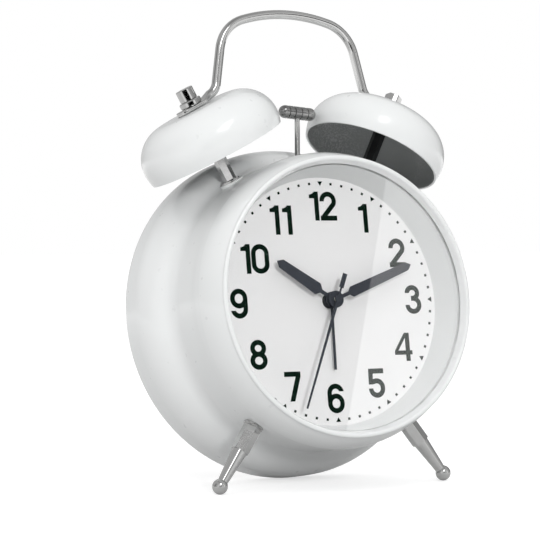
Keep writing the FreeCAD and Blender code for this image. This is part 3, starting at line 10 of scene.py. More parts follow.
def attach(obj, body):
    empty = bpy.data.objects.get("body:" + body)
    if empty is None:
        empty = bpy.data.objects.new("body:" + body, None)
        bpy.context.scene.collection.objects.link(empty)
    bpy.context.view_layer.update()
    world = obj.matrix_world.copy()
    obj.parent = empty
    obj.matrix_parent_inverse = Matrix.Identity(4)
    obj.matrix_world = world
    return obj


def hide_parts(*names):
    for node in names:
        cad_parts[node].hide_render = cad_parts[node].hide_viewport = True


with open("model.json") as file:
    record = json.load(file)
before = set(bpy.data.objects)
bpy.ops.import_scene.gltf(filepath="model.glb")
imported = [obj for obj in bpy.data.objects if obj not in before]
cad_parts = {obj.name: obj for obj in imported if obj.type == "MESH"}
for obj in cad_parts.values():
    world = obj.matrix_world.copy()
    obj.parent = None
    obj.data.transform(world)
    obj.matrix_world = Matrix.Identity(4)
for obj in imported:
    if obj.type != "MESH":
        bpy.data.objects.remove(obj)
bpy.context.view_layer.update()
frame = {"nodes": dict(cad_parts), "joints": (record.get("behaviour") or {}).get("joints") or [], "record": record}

# A twin-bell alarm clock, dressed over its solids. Unless a line says otherwise, lengths are in
# millimetres and angles in degrees; Blender gets metres and radians.
MM = 0.001
nodes = frame["nodes"]

# ---------------------------------------------------------------- the case's own frame
# X runs to the right of the dial, Y back through the case and Z up the dial.
JOINT_DEPTH = 2.0
dial_joint = next(joint for joint in frame["joints"] if joint["name"] == "minute_spin")
case_y = Vector(dial_joint["axis"]).normalized()
case_x = Vector((1.0, 0.0, 0.0))
case_z = case_x.cross(case_y)
case_origin = Vector(dial_joint["pos_m"]) - case_y * JOINT_DEPTH * MM
CASE = Matrix.Translation(case_origin) @ Matrix((case_x, case_y, case_z)).transposed().to_4x4()

# ---------------------------------------------------------------- sizes shared with the solids
SHEET = 0.8
POST_X, POST_Y, POST_Z = 25.82, 15.0, 43.6656

BELL_TILT = 27.5
BELL_NOD = 2.0
BELL_RIM_Z = 11.2
BELL_RIM_RADIUS = 24.8
BELL_RIM_EDGE = 0.3
BELL_RIM_ROUNDING = 0.3 * BELL_RIM_EDGE
BELL_CURL = 0.7
BELL_SKIRT = 4.5
BELL_SHOULDER = 12.6
BELL_HOLE = 1.7
BELL_CROWN_Z = BELL_RIM_Z + BELL_SKIRT + BELL_SHOULDER
BELL_SEGMENTS = 144
BELL_SKIRT_STEPS = 8
BELL_ARC_STEP = 3.0

TAB_THICKNESS = 1.6
TAB_WIDTH = 6.4
TAB_REACH = 6.65
TAB_FLAT = 3.8
# the very tip of the tab, as shares of its half width and half thickness
TAB_TIP_WIDTH = 0.08
TAB_TIP_THICKNESS = 0.55
TAB_TIP_SWELL = 0.72
BAR_POWER = 5.0
ROUND_POWER = 2.0

# across the flats, height, and height of the chamfers; the solids' cap nuts are 4.2 high
BELL_NUT = (7.0, 2.0, 0.35)
CAP_NUT = (5.5, 4.3, 0.25)
NUT_TURN = 30.0
NUT_END_SCALE = 0.9
NUT_CORNER_SPREAD = 5.0
NUT_CORNER_SCALE = 0.975

HANDLE_RADIUS = 1.595
HANDLE_RISE = 60.33
HANDLE_TOP_RADIUS = 60.0
HANDLE_CORNER_RADIUS = 14.0
HANDLE_CORNER_X = 13.3
HANDLE_LEAN = 11.25
HANDLE_FOOT_BEND = 6.0
HANDLE_CLEARANCE = 0.3

HAMMER_Y = 14.5
HAMMER_PIVOT_RISE = 0.33
HAMMER_ANGLE = 4.8
HAMMER_REACH = 24.8
HAMMER_FOOT = 2.6
HAMMER_ARM_RADIUS = 0.9
HEAD_RADIUS = 2.3
HEAD_LENGTH = 14.3
HEAD_END_LENGTH = 0.96 * HEAD_RADIUS
HEAD_TIP_RADIUS = 0.12
GROOVES = (-3.95, -1.75, 0.85, 3.3)
GROOVE_DEPTH = 0.34
GROOVE_MOUTH = 0.36
GROOVE_FLOOR = 0.2

# ---------------------------------------------------------------- sizes of the print
NUMBER_HEIGHT = 10.1
NUMBER_WIDTH = 6.5
NUMBER_STROKE = 1.72
# the least cosines for a pen stroke's mitred joins and level ends, which bound their length
MITRE_LEAST = 0.4
LEVEL_LEAST = 0.7
PRINT_HEIGHT = 0.05
PRINT_MERGE = 1e-4
PRINT_FLAT = 0.002  # radians
MARK_RADIUS = 40.8
DOT_HALF = 0.43
# an hour's triangle: half its width, and how far it reaches outward and inward
TRIANGLE_HALF, TRIANGLE_OUT, TRIANGLE_IN = 0.95, 0.72, 0.85


# ---------------------------------------------------------------- shader nodes
def plug(tree, sockets, values):
    """Give each socket its value: another socket, or a fixed number, vector or colour."""
    for socket, value in zip(sockets, values):
        if isinstance(value, bpy.types.NodeSocket):
            tree.links.new(value, socket)
        else:
            socket.default_value = value


def math_node(tree, operation, *values):
    node = tree.nodes.new("ShaderNodeMath")
    node.operation = operation
    plug(tree, node.inputs, values)
    return node.outputs["Value"]


def vector_node(tree, operation, *values):
    """A vector math node; the caller takes its Vector or its Value."""
    node = tree.nodes.new("ShaderNodeVectorMath")
    node.operation = operation
    plug(tree, node.inputs, values)
    return node.outputs


def noise(tree, place, per_metre, detail, roughness=0.5, distortion=0.0):
    node = tree.nodes.new("ShaderNodeTexNoise")
    node.inputs["Scale"].default_value = per_metre
    node.inputs["Detail"].default_value = detail
    node.inputs["Roughness"].default_value = roughness
    node.inputs["Distortion"].default_value = distortion
    tree.links.new(place, node.inputs["Vector"])
    return node.outputs["Fac"]


def stretched(tree, place, scale):
    node = tree.nodes.new("ShaderNodeMapping")
    node.inputs["Scale"].default_value = scale
    tree.links.new(place, node.inputs["Vector"])
    return node.outputs["Vector"]


def ranged(tree, value, low, high, from_low=0.3, from_high=0.7):
    """A value mapped to a range; without limits of its own it is taken to be noise."""
    node = tree.nodes.new("ShaderNodeMapRange")
    node.inputs["From Min"].default_value = from_low
    node.inputs["From Max"].default_value = from_high
    node.inputs["To Min"].default_value = low
    node.inputs["To Max"].default_value = high
    tree.links.new(value, node.inputs["Value"])
    return node.outputs["Result"]


def blended(tree, share, first, second):
    """A colour between two colours; each is a colour or a socket."""
    node = tree.nodes.new("ShaderNodeMix")
    node.data_type = "RGBA"
    tree.links.new(share, node.inputs["Factor"])
    colours = [(*c, 1.0) if isinstance(c, tuple) else c for c in (first, second)]
    plug(tree, [s for s in node.inputs if s.type == "RGBA"], colours)
    return next(s for s in node.outputs if s.type == "RGBA")


def mixed_shader(tree, share, first, second):
    node = tree.nodes.new("ShaderNodeMixShader")
    plug(tree, node.inputs, (share, first, second))
    return node.outputs["Shader"]


def by_angle(tree, angle, span, stops):
    """A grey ramp over an angle in radians; the stops are (degrees, level) over the whole span."""
    node = tree.nodes.new("ShaderNodeValToRGB")
    node.color_ramp.interpolation = "LINEAR"
    elements = node.color_ramp.elements
    while len(elements) < len(stops):
        elements.new(0.5)
    for element, (degrees, level) in zip(elements, stops):
        element.position = degrees / span + 0.5
        element.color = (level, level, level, 1.0)
    share = math_node(tree, "ADD", math_node(tree, "DIVIDE", angle, math.radians(span)), 0.5)
    tree.links.new(share, node.inputs["Fac"])
    return node.outputs["Color"]


def between(tree, angle, limits, soft):
    """1 where an angle in radians lies between limits in degrees; soft is an edge's half-width."""
    low, high = limits
    rise = ranged(tree, angle, 0.0, 1.0, math.radians(low - soft), math.radians(low + soft))
    fall = ranged(tree, angle, 1.0, 0.0, math.radians(high - soft), math.radians(high + soft))
    return math_node(tree, "MULTIPLY", rise, fall)


def bearings(tree, direction):
    """Azimuth (0 to the front, positive to the right) and elevation, in radians."""
    axes = tree.nodes.new("ShaderNodeSeparateXYZ")
    tree.links.new(vector_node(tree, "NORMALIZE", direction)["Vector"], axes.inputs[0])
    front = math_node(tree, "MULTIPLY", axes.outputs["Y"], -1.0)
    azimuth = math_node(tree, "ARCTAN2", axes.outputs["X"], front)
    return azimuth, math_node(tree, "ARCSINE", axes.outputs["Z"])


# ---------------------------------------------------------------- materials
# how far the rounded normal has turned, as a cosine, where an edge begins and where it is full
EDGE_NONE, EDGE_FULL = 0.98, 0.75


def new_material(name):
    """An empty node material: its tree, its Principled shader and its object coordinates."""
    material = bpy.data.materials.new(name)
    material.use_nodes = True
    tree = material.node_tree
    shader = tree.nodes["Principled BSDF"]
    place = tree.nodes.new("ShaderNodeTexCoord").outputs["Object"]
    return material, tree, shader, place


def scaled(colour, factor, lift=0.0):
    return tuple(min(1.0, factor * channel + lift) for channel in colour)


def clouded(tree, place, colour, shade, per_metre, detail):
    """Two close colours in soft clouds."""
    share = ranged(tree, noise(tree, place, per_metre, detail), 0.0, 1.0)
    return blended(tree, share, colour, shade)


def worn(tree, shader, body, edge_colour, radius_mm, full_at):
    """The shader's colour: a body that turns to another colour along its edges."""
    bevel = tree.nodes.new("ShaderNodeBevel")
    bevel.samples = 4
    bevel.inputs["Radius"].default_value = radius_mm * MM
    plain = tree.nodes.new("ShaderNodeNewGeometry")
    normals = (bevel.outputs["Normal"], plain.outputs["Normal"])
    turned = vector_node(tree, "DOT_PRODUCT", *normals)["Value"]
    edge = ranged(tree, turned, 1.0, 0.0, EDGE_FULL, EDGE_NONE)
    share = ranged(tree, edge, 0.0, full_at, 0.0, 1.0)
    tree.links.new(blended(tree, share, body, edge_colour), shader.inputs["Base Color"])


def roughened(tree, shader, value, smooth, rough):
    """The shader's roughness, which wanders with a noise."""
    tree.links.new(ranged(tree, value, smooth, rough), shader.inputs["Roughness"])


def bumped(tree, shader, height, distance_mm, strength):
    node = tree.nodes.new("ShaderNodeBump")
    node.inputs["Strength"].default_value = strength
    node.inputs["Distance"].default_value = distance_mm * MM
    tree.links.new(height, node.inputs["Height"])
    tree.links.new(node.outputs["Normal"], shader.inputs["Normal"])


def painted(name, colour, shade, roughness, coat, coat_roughness, peel_mm, specular=0.5):
    """Stoved paint, lacquer or smooth card: faint clouding, darker thin edges, orange peel."""
    material, tree, shader, place = new_material(name)
    body = clouded(tree, place, colour, shade, per_metre=45.0, detail=4.0)
    worn(tree, shader, body, scaled(shade, 0.82), radius_mm=0.35, full_at=0.35)
    gloss = noise(tree, place, per_metre=260.0, detail=5.0)
    roughened(tree, shader, gloss, roughness * 0.85, roughness * 1.2)
    shader.inputs["Specular IOR Level"].default_value = specular
    shader.inputs["Coat Weight"].default_value = coat
    shader.inputs["Coat Roughness"].default_value = coat_roughness
    peel = noise(tree, place, per_metre=520.0, detail=2.0)
    bumped(tree, shader, peel, peel_mm, strength=0.35)
    return material


def metal(name, colour, shade, smooth, rough, bump_mm=0.004, brushed=None):
    """Plated or bare metal: soft clouding, rubbed edges, fine marks that may run one way."""
    material, tree, shader, place = new_material(name)
    body = clouded(tree, place, colour, shade, per_metre=160.0, detail=4.0)
    worn(tree, shader, body, scaled(colour, 1.25), radius_mm=0.15, full_at=0.6)
    shader.inputs["Metallic"].default_value = 1.0
    marks = place if brushed is None else stretched(tree, place, brushed)
    smear = noise(tree, marks, per_metre=700.0, detail=6.0, roughness=0.6)
    roughened(tree, shader, smear, smooth, rough)
    scratches = noise(tree, marks, per_metre=1900.0, detail=3.0)
    bumped(tree, shader, scratches, bump_mm, strength=0.25)
    return material


def plain_moulding(name, colour, shade, roughness, grain_mm, specular=0.5):
    """Moulded plastic or ink with a fine grain and lighter rubbed edges."""
    material, tree, shader, place = new_material(name)
    body = clouded(tree, place, colour, shade, per_metre=90.0, detail=3.0)
    worn(tree, shader, body, scaled(colour, 1.35, 0.01), radius_mm=0.3, full_at=0.4)
    gloss = noise(tree, place, per_metre=900.0, detail=4.0)
    roughened(tree, shader, gloss, roughness * 0.85, roughness * 1.15)
    shader.inputs["Specular IOR Level"].default_value = specular
    grain = noise(tree, place, per_metre=2600.0, detail=2.0)
    bumped(tree, shader, grain, grain_mm, strength=0.6)
    return material


def primer(name, colour, speck):
    """Thin sprayed primer: a dark coat with overspray specks in drifts."""
    material, tree, shader, place = new_material(name)
    wide = noise(tree, place, per_metre=38.0, detail=3.0, distortion=0.6)
    fine = noise(tree, place, per_metre=1500.0, detail=3.0, roughness=0.7)
    drift = ranged(tree, wide, 0.0, 1.0, from_low=0.42, from_high=0.66)
    specks = ranged(tree, fine, 0.0, 1.0, from_low=0.46, from_high=0.62)
    body = blended(tree, math_node(tree, "MULTIPLY", drift, specks), colour, speck)
    worn(tree, shader, body, scaled(speck, 1.3), radius_mm=0.3, full_at=0.5)
    gloss = ranged(tree, specks, 0.5, 0.72, from_low=0.0, from_high=1.0)
    tree.links.new(gloss, shader.inputs["Roughness"])
    shader.inputs["Specular IOR Level"].default_value = 0.3
    bumped(tree, shader, specks, distance_mm=0.012, strength=0.5)
    return material


def clear_glass(name):
    """Clear flat glass that lets the lamps through."""
    material, tree, shader, place = new_material(name)
    shader.inputs["Base Color"].default_value = (0.985, 0.995, 0.992, 1.0)
    shader.inputs["Transmission Weight"].default_value = 1.0
    shader.inputs["IOR"].default_value = 1.5
    film = noise(tree, place, per_metre=30.0, detail=3.0)
    roughened(tree, shader, film, 0.0, 0.001)
    clear = tree.nodes.new("ShaderNodeBsdfTransparent").outputs["BSDF"]
    path = tree.nodes.new("ShaderNodeLightPath").outputs
    open_to = math_node(tree, "MAXIMUM", path["Is Shadow Ray"], path["Is Diffuse Ray"])
    pane = mixed_shader(tree, open_to, shader.outputs["BSDF"], clear)
    tree.links.new(pane, tree.nodes["Material Output"].inputs["Surface"])
    return material


WHITE_ENAMEL = painted(
    "white_enamel_paint", (0.80, 0.81, 0.81), (0.785, 0.80, 0.798),
    roughness=0.32, coat=0.7, coat_roughness=0.05, peel_mm=0.012,
)
DIAL_WHITE = painted(
    "dial_card", (0.865, 0.855, 0.857), (0.855, 0.845, 0.849),
    roughness=0.6, coat=0.0, coat_roughness=0.3, peel_mm=0.003, specular=0.3,
)
RING_WHITE = painted(
    "ring_moulding", (0.74, 0.745, 0.745), (0.725, 0.735, 0.735),
    roughness=0.42, coat=0.0, coat_roughness=0.2, peel_mm=0.01,
)
HAND_LACQUER = painted(
    "hand_lacquer", (0.042, 0.046, 0.056), (0.048, 0.052, 0.063),
    roughness=0.5, coat=0.0, coat_roughness=0.2, peel_mm=0.004, specular=0.12,
)
CELL = painted(
    "plain_cell_jacket", (0.03, 0.035, 0.05), (0.034, 0.04, 0.056),
    roughness=0.35, coat=0.4, coat_roughness=0.1, peel_mm=0.004,
)
POLISHED = metal(
    "polished_nickel", (0.61, 0.61, 0.605), (0.57, 0.57, 0.565), 0.05, 0.09, bump_mm=0.0012,
)
HEAD_STEEL = metal(
    "turned_steel", (0.37, 0.37, 0.365), (0.27, 0.27, 0.27), 0.12, 0.24, brushed=(14.0, 1.0, 1.0),
)
ARM_STEEL = metal(
    "arm_steel", (0.62, 0.62, 0.615), (0.54, 0.54, 0.535), 0.16, 0.26, bump_mm=0.003,
)
STEEL = metal(
    "bright_steel", (0.60, 0.60, 0.59), (0.53, 0.53, 0.525), 0.2, 0.36, bump_mm=0.006,
)
IRON = metal(
    "soft_iron", (0.30, 0.30, 0.31), (0.24, 0.24, 0.25), 0.4, 0.6, bump_mm=0.01,
)
COPPER = metal(
    "enamelled_copper", (0.62, 0.28, 0.14), (0.50, 0.20, 0.09), 0.25, 0.4,
    bump_mm=0.01, brushed=(1.0, 1.0, 9.0),
)
INK = plain_moulding(
    "dial_ink", (0.002, 0.009, 0.005), (0.003, 0.012, 0.007),
    roughness=0.6, grain_mm=0.002, specular=0.04,
)
# painted dark reflection: a near-black colour for the right bell's post, standing for the shaded bell inside seen
# in its bright metal
POST_PAINTED_DARK = plain_moulding(
    "post_painted_dark_reflection", (0.006, 0.007, 0.007), (0.010, 0.011, 0.011), roughness=0.35, grain_mm=0.004,
)
BLACK_MOULDING = plain_moulding(
    "black_moulding_grain", (0.030, 0.031, 0.032), (0.036, 0.037, 0.038),
    roughness=0.5, grain_mm=0.012,
)
GREY_MOULDING = plain_moulding(
    "grey_moulding_grain", (0.27, 0.275, 0.28), (0.30, 0.305, 0.31), roughness=0.5, grain_mm=0.01,
)
ACETAL = plain_moulding(
    "acetal_natural", (0.78, 0.76, 0.69), (0.74, 0.72, 0.65), roughness=0.38, grain_mm=0.004,
)
BOARD = plain_moulding(
    "green_board", (0.02, 0.09, 0.04), (0.03, 0.12, 0.055), roughness=0.45, grain_mm=0.006,
)
BELL_INSIDE = primer("bell_inside_primer", (0.36, 0.37, 0.37), (0.60, 0.61, 0.61))
GLASS = clear_glass("clear_flat_glass")

FINISHES = {
    "white_enamel": WHITE_ENAMEL,
    "dial_print": DIAL_WHITE,
    "white_moulding": RING_WHITE,
    "glass": GLASS,
    "hand_black": HAND_LACQUER,
    "polished_steel": POLISHED,
    "steel": STEEL,
    "black_moulding": BLACK_MOULDING,
    "grey_moulding": GREY_MOULDING,
    "acetal": ACETAL,
    "iron": IRON,
    "copper_wire": COPPER,
    "board": BOARD,
    "cell_label": CELL,
}
for part in frame["record"]["subparts"]:
    for slot in nodes[part["node"]].material_slots:
        slot.material = FINISHES[part["material_slot"]]
# the right bell's post gets the near-black colour, a painted dark reflection of the shaded bell inside; the left
# post is not changed
nodes["right_bell_post"].material_slots[0].material = POST_PAINTED_DARK


# ---------------------------------------------------------------- mesh helpers
def turn_about(axis, degrees):
    return Matrix.Rotation(math.radians(degrees), 4, axis)


def heading(degrees):
    """Unit vector in the dial's plane, from X towards Z."""
    angle = math.radians(degrees)
    return Vector((math.cos(angle), 0.0, math.sin(angle)))


def shares(count):
    """Equal steps from just after 0 up to 1."""
    return [step / count for step in range(1, count + 1)]


def add_mesh(name, points, faces, materials, sharp, face_slots=None):
    """A shaded mesh object from points in the case's frame; edges above sharp stay crisp."""
    mesh = bpy.data.meshes.new(name)
    mesh.from_pydata([tuple(CASE @ (Vector(point) * MM)) for point in points], [], faces)
    for material in materials:
        mesh.materials.append(material)
    if face_slots is not None:
        mesh.polygons.foreach_set("material_index", face_slots)
    mesh.shade_smooth()
    mesh.set_sharp_from_angle(angle=math.radians(sharp))
    mesh.update()
    piece = bpy.data.objects.new(name, mesh)
    bpy.context.scene.collection.objects.link(piece)
    return piece


def arc(centre, radii, start, end, step=6.0):
    """Points along an ellipse's arc; angles run from X towards Z."""
    count = max(2, int(abs(end - start) / step + 0.5))
    points = []
    for index in range(count + 1):
        angle = math.radians(start + (end - start) * index / count)
        points.append((
            centre[0] + radii[0] * math.cos(angle), centre[1] + radii[1] * math.sin(angle)
        ))
    return points


def box(left, low, right, high):
    """A rectangle's four corners."""
    return [(left, low), (right, low), (right, high), (left, high)]


def stroke(points, closed=False, level=(False, False)):
    """Quads of a pen stroke along a line, with mitred joins; its start or end may be cut level."""
    half = NUMBER_STROKE / 2
    count = len(points)
    left, right = [], []
    for index, point in enumerate(points):
        here = Vector(point)
        before = Vector(points[index - 1]) if index or closed else None
        after = Vector(points[(index + 1) % count]) if index < count - 1 or closed else None
        headings = []
        if before is not None:
            headings.append((here - before).normalized())
        if after is not None:
            headings.append((after - here).normalized())
        normals = [Vector((-h.y, h.x)) for h in headings]
        side = sum(normals, Vector((0.0, 0.0))).normalized()
        side *= half / max(MITRE_LEAST, side.dot(normals[0]))
        if len(headings) == 1 and level[0 if before is None else 1]:
            slope = normals[0].x
            side = Vector((math.copysign(half / max(LEVEL_LEAST, abs(slope)), slope), 0.0))
        left.append(here + side)
        right.append(here - side)
    spans = range(count if closed else count - 1)
    return [[left[i], right[i], right[(i + 1) % count], left[(i + 1) % count]] for i in spans]


def flat_print(name, polygons):
    """Overlapping polygons (x, z), joined into one thin film of ink on the dial."""
    corners, faces = [], []
    for polygon in polygons:
        area = sum(a[0] * b[1] - b[0] * a[1] for a, b in zip(polygon, polygon[1:] + polygon[:1]))
        faces.append(list(range(len(corners), len(corners) + len(polygon))))
        corners.extend(Vector(corner) for corner in (polygon if area > 0 else polygon[::-1]))
    inside = 1
    points, _, found, _, _, sources = delaunay_2d_cdt(
        corners, [], faces, inside, PRINT_MERGE, True
    )
    shape = bmesh.new()
    ring = [shape.verts.new((p[0], -PRINT_HEIGHT, p[1])) for p in points]
    for triangle, source in zip(found, sources):
        if source:
            shape.faces.new([ring[i] for i in triangle])
    loose = [vert for vert in shape.verts if not vert.link_faces]
    bmesh.ops.delete(shape, geom=loose, context="VERTS")
    raised = bmesh.ops.extrude_face_region(shape, geom=shape.faces[:])
    for vert in [v for v in raised["geom"] if isinstance(v, bmesh.types.BMVert)]:
        vert.co.y = 0.0
    bmesh.ops.recalc_face_normals(shape, faces=shape.faces[:])
    bmesh.ops.dissolve_limit(
        shape, angle_limit=PRINT_FLAT, verts=shape.verts[:], edges=shape.edges[:]
    )
    shape.verts.index_update()
    verts = [tuple(v.co) for v in shape.verts]
    polys = [[v.index for v in face.verts] for face in shape.faces]
    shape.free()
    return add_mesh(name, verts, polys, [INK], sharp=25.0)


# ---------------------------------------------------------------- the dial's print
def digit_polygons(digit):
    """One condensed digit about its own centre; bare offsets are the typeface's own."""
    t = NUMBER_STROKE
    high = NUMBER_HEIGHT / 2
    half = NUMBER_WIDTH / 2
    # the middle of the stroke at a bowl's side and at the top
    bow = half - t / 2
    top = high - t / 2
    if digit == "0":
        wide = bow + 0.15
        line = arc((0, top - bow), (wide, bow), 0, 180) + arc((0, bow - top), (wide, bow), 180, 360)
        return stroke(line, closed=True)
    if digit == "1":
        flag = [
            (0.16, high - 2.35), (0.36, high), (-0.5, high - 0.75), (-1.75, high - 1.1),
            (-1.75, high - 2.35),
        ]
        return [box(0.15, -high, 0.15 + t, high), flag]
    if digit == "2":
        line = [(-bow, top - bow - 0.15)] + arc((0, top - bow), (bow, bow), 180, -28)
        line += [(-bow + 0.55, -high + t * 0.9), (-bow + 0.2, -high + 0.25)]
        return stroke(line, level=(True, True)) + [box(-half, -high, half, -high + t)]
    if digit == "3":
        waist = 0.4
        middle = [(-0.75, waist)]
        upper = arc((-0.2, (top + waist) / 2), (bow * 0.87, (top - waist) / 2), 180, -90) + middle
        lower = middle + arc((0, (waist - top) / 2), (bow, (top + waist) / 2), 90, -180)
        return stroke(upper, level=(True, False)) + stroke(lower, level=(False, True))
    if digit == "4":
        low = 2.5 - high
        bar_top = low + 1.45
        left = -half - 0.45
        slope = [
            (left, bar_top - 0.05), (-half + 0.95, bar_top - 0.05), (0.9, high - 1.5), (0.9, high),
            (0.5, high),
        ]
        stem = box(0.75, 0.25 - high, 0.75 + t, high)
        return [box(left, low, half + 0.15, bar_top), stem, slope]
    if digit == "5":
        left = 0.25 - half
        back = [(left, high), (left - 0.15, -0.4), (left - 0.15 + t, -0.4), (left + t, high)]
        bowl = [(0.75 - bow, bow * 1.86 - top + 0.2)]
        bowl += arc((0, bow - top + 0.2), (bow, bow), 105, 0)
        bowl += arc((0, bow - top), (bow, bow), 0, -180)
        roof = box(left, high - t, half - 0.25, high)
        return [roof, back] + stroke(bowl, level=(False, True))
    if digit in "69":
        ring = arc((0, bow - top + 0.2), (bow, bow), 0, 180)
        ring += arc((0, bow - top), (bow, bow), 180, 360)
        tail = [(-bow, bow - top), (-bow, bow - top + 1.6)]
        tail += arc((0, top - bow), (bow, bow), 180, 14)
        sign = 1.0 if digit == "6" else -1.0
        quads = stroke(ring, closed=True) + stroke(tail, level=(True, True))
        return [[(sign * p[0], sign * p[1]) for p in quad] for quad in quads]
    if digit == "7":
        right = half - 0.1
        leg = [
            (right, high - 0.3), (right - 1.9, high - 0.3), (right - 1.95, high - t),
            (-1.45, -high), (0.4, -high), (right, high - t),
        ]
        return [box(-right, high - t, right, high), leg]
    waist = 0.2
    upper = arc((0, (top + waist) / 2), (bow * 0.9, (top - waist) / 2), 0, 360)[:-1]
    lower = arc((0, (waist - top) / 2), (bow, (top + waist) / 2), 0, 360)[:-1]
    return stroke(upper, closed=True) + stroke(lower, closed=True)


NUMBERS = {
    "12": (0.0, 32.9), "1": (16.6, 28.7), "2": (28.9, 16.5), "3": (33.95, 0.0),
    "4": (28.5, -16.7), "5": (16.3, -28.8), "6": (-0.33, -33.5), "7": (-16.7, -28.9),
    "8": (-29.0, -17.8), "9": (-34.95, -0.4), "10": (-28.1, 14.7), "11": (-16.3, 28.0),
}
DIGIT_OFFSETS = {"1": (-0.35,), "12": (-3.0, 2.6), "10": (-3.1, 2.5), "11": (-2.55, 2.3)}

print_pieces = []
for number, centre in NUMBERS.items():
    polygons = []
    for digit, offset in zip(number, DIGIT_OFFSETS.get(number, (0.0,))):
        shift = Vector((centre[0] + offset, centre[1]))
        for polygon in digit_polygons(digit):
            polygons.append([Vector(corner) + shift for corner in polygon])
    print_pieces.append(flat_print("numeral_" + number, polygons))

marks = []
for minute in range(60):
    bearing = math.radians(6 * minute)
    outward = Vector((math.sin(bearing), math.cos(bearing)))
    across = Vector((outward.y, -outward.x))
    spot = outward * MARK_RADIUS
    if minute % 5:
        corners = box(-DOT_HALF, -DOT_HALF, DOT_HALF, DOT_HALF)
    else:
        corners = [
            (-TRIANGLE_HALF, TRIANGLE_OUT), (TRIANGLE_HALF, TRIANGLE_OUT), (0.0, -TRIANGLE_IN)
        ]
    marks.append([spot + across * i + outward * j for i, j in corners])
print_pieces.append(flat_print("minute_marks", marks))
for piece in print_pieces:
    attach(piece, "case")


# ---------------------------------------------------------------- bells
def spun_shell(profile, slots, place):
    """A closed ring of quads from a closed (radius, z) profile about a local Z axis."""
    count = len(profile)
    points, faces, face_slots = [], [], []
    for step in range(BELL_SEGMENTS):
        angle = 2 * math.pi * step / BELL_SEGMENTS
        for radius, z in profile:
            points.append(place @ Vector((radius * math.cos(angle), radius * math.sin(angle), z)))
        here = step * count
        there = ((step + 1) % BELL_SEGMENTS) * count
        for index in range(count):
            after = (index + 1) % count
            faces.append((here + index, here + after, there + after, there + index))
            face_slots.append(slots[index])
    return points, faces, face_slots


def bell_place(side):
    """Frame of a bell in the case's frame: its Z axis is the bell's own."""
    spot = Matrix.Translation((side * POST_X, POST_Y, POST_Z))
    return spot @ turn_about("Y", side * BELL_TILT) @ turn_about("X", BELL_NOD)


def bell_skirt(inset, share):
    """A point on the curling skirt, from the rim (0) to the shoulder (1)."""
    bulge = BELL_CURL * math.sin(share * math.pi / 2)
    z = BELL_RIM_Z + BELL_RIM_EDGE + (BELL_SKIRT - BELL_RIM_EDGE) * share
    return BELL_RIM_RADIUS - inset + bulge, z


def bell_profile():
    """Outer skin first, then the hole and the inner skin; a fine rolled edge at the rim."""
    shoulder = BELL_RIM_RADIUS + BELL_CURL - BELL_SHOULDER
    centre = (shoulder, BELL_RIM_Z + BELL_SKIRT)
    inner_radius = BELL_SHOULDER - SHEET
    crown = [shoulder * 0.7, shoulder * 0.4, BELL_HOLE]
    skirt = [0.0] + shares(BELL_SKIRT_STEPS)
    outer = [(BELL_RIM_RADIUS - BELL_RIM_ROUNDING, BELL_RIM_Z)]
    outer += [bell_skirt(0.0, share) for share in skirt]
    outer += arc(centre, (BELL_SHOULDER, BELL_SHOULDER), 0, 90, BELL_ARC_STEP)[1:]
    outer += [(radius, BELL_CROWN_Z) for radius in crown]
    inner = [(radius, BELL_CROWN_Z - SHEET) for radius in reversed(crown)]
    inner += arc(centre, (inner_radius, inner_radius), 90, 0, BELL_ARC_STEP)
    inner += [bell_skirt(SHEET, share) for share in reversed(skirt[:-1])]
    inner += [(BELL_RIM_RADIUS - SHEET + BELL_RIM_ROUNDING, BELL_RIM_Z)]
    # the rim and the hole are enamelled with the outside
    slots = [0] * len(outer) + [1] * (len(inner) - 2) + [0, 0]
    return outer + inner, slots


finishes = [WHITE_ENAMEL, BELL_INSIDE]
profile, slots = bell_profile()
for side, name in ((-1, "left_bell"), (1, "right_bell")):
    points, faces, face_slots = spun_shell(profile, slots, bell_place(side))
    piece = add_mesh(name + "_gong", points, faces, finishes, sharp=40.0, face_slots=face_slots)
    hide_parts(name)
    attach(piece, "case")


# ---------------------------------------------------------------- bright metal
# Finer skins for the bent, hexagonal and turned metal. The cap nuts have flat tops and the
# striker has four grooves, where the solids have sloping tops and two grooves.
def ringed(rings):
    """A closed skin from rings of equally many points, its two ends filled."""
    count = len(rings[0])
    points = [point for ring in rings for point in ring]
    faces = [tuple(reversed(range(count)))]
    for index in range(len(rings) - 1):
        here, there = index * count, (index + 1) * count
        for side in range(count):
            after = (side + 1) % count
            faces.append((here + side, here + after, there + after, there + side))
    faces.append(tuple(range(len(points) - count, len(points))))
    return points, faces


def section(centre, across, up, wide, thick, power, sides=40):
    """A ring between an ellipse (power 2) and a rounded bar (higher powers)."""
    ring = []
    for side in range(sides):
        angle = 2 * math.pi * side / sides
        cosine, sine = math.cos(angle), math.sin(angle)
        u = math.copysign(abs(cosine) ** (2 / power), cosine)
        v = math.copysign(abs(sine) ** (2 / power), sine)
        ring.append(centre + across * (wide * u) + up * (thick * v))
    return ring


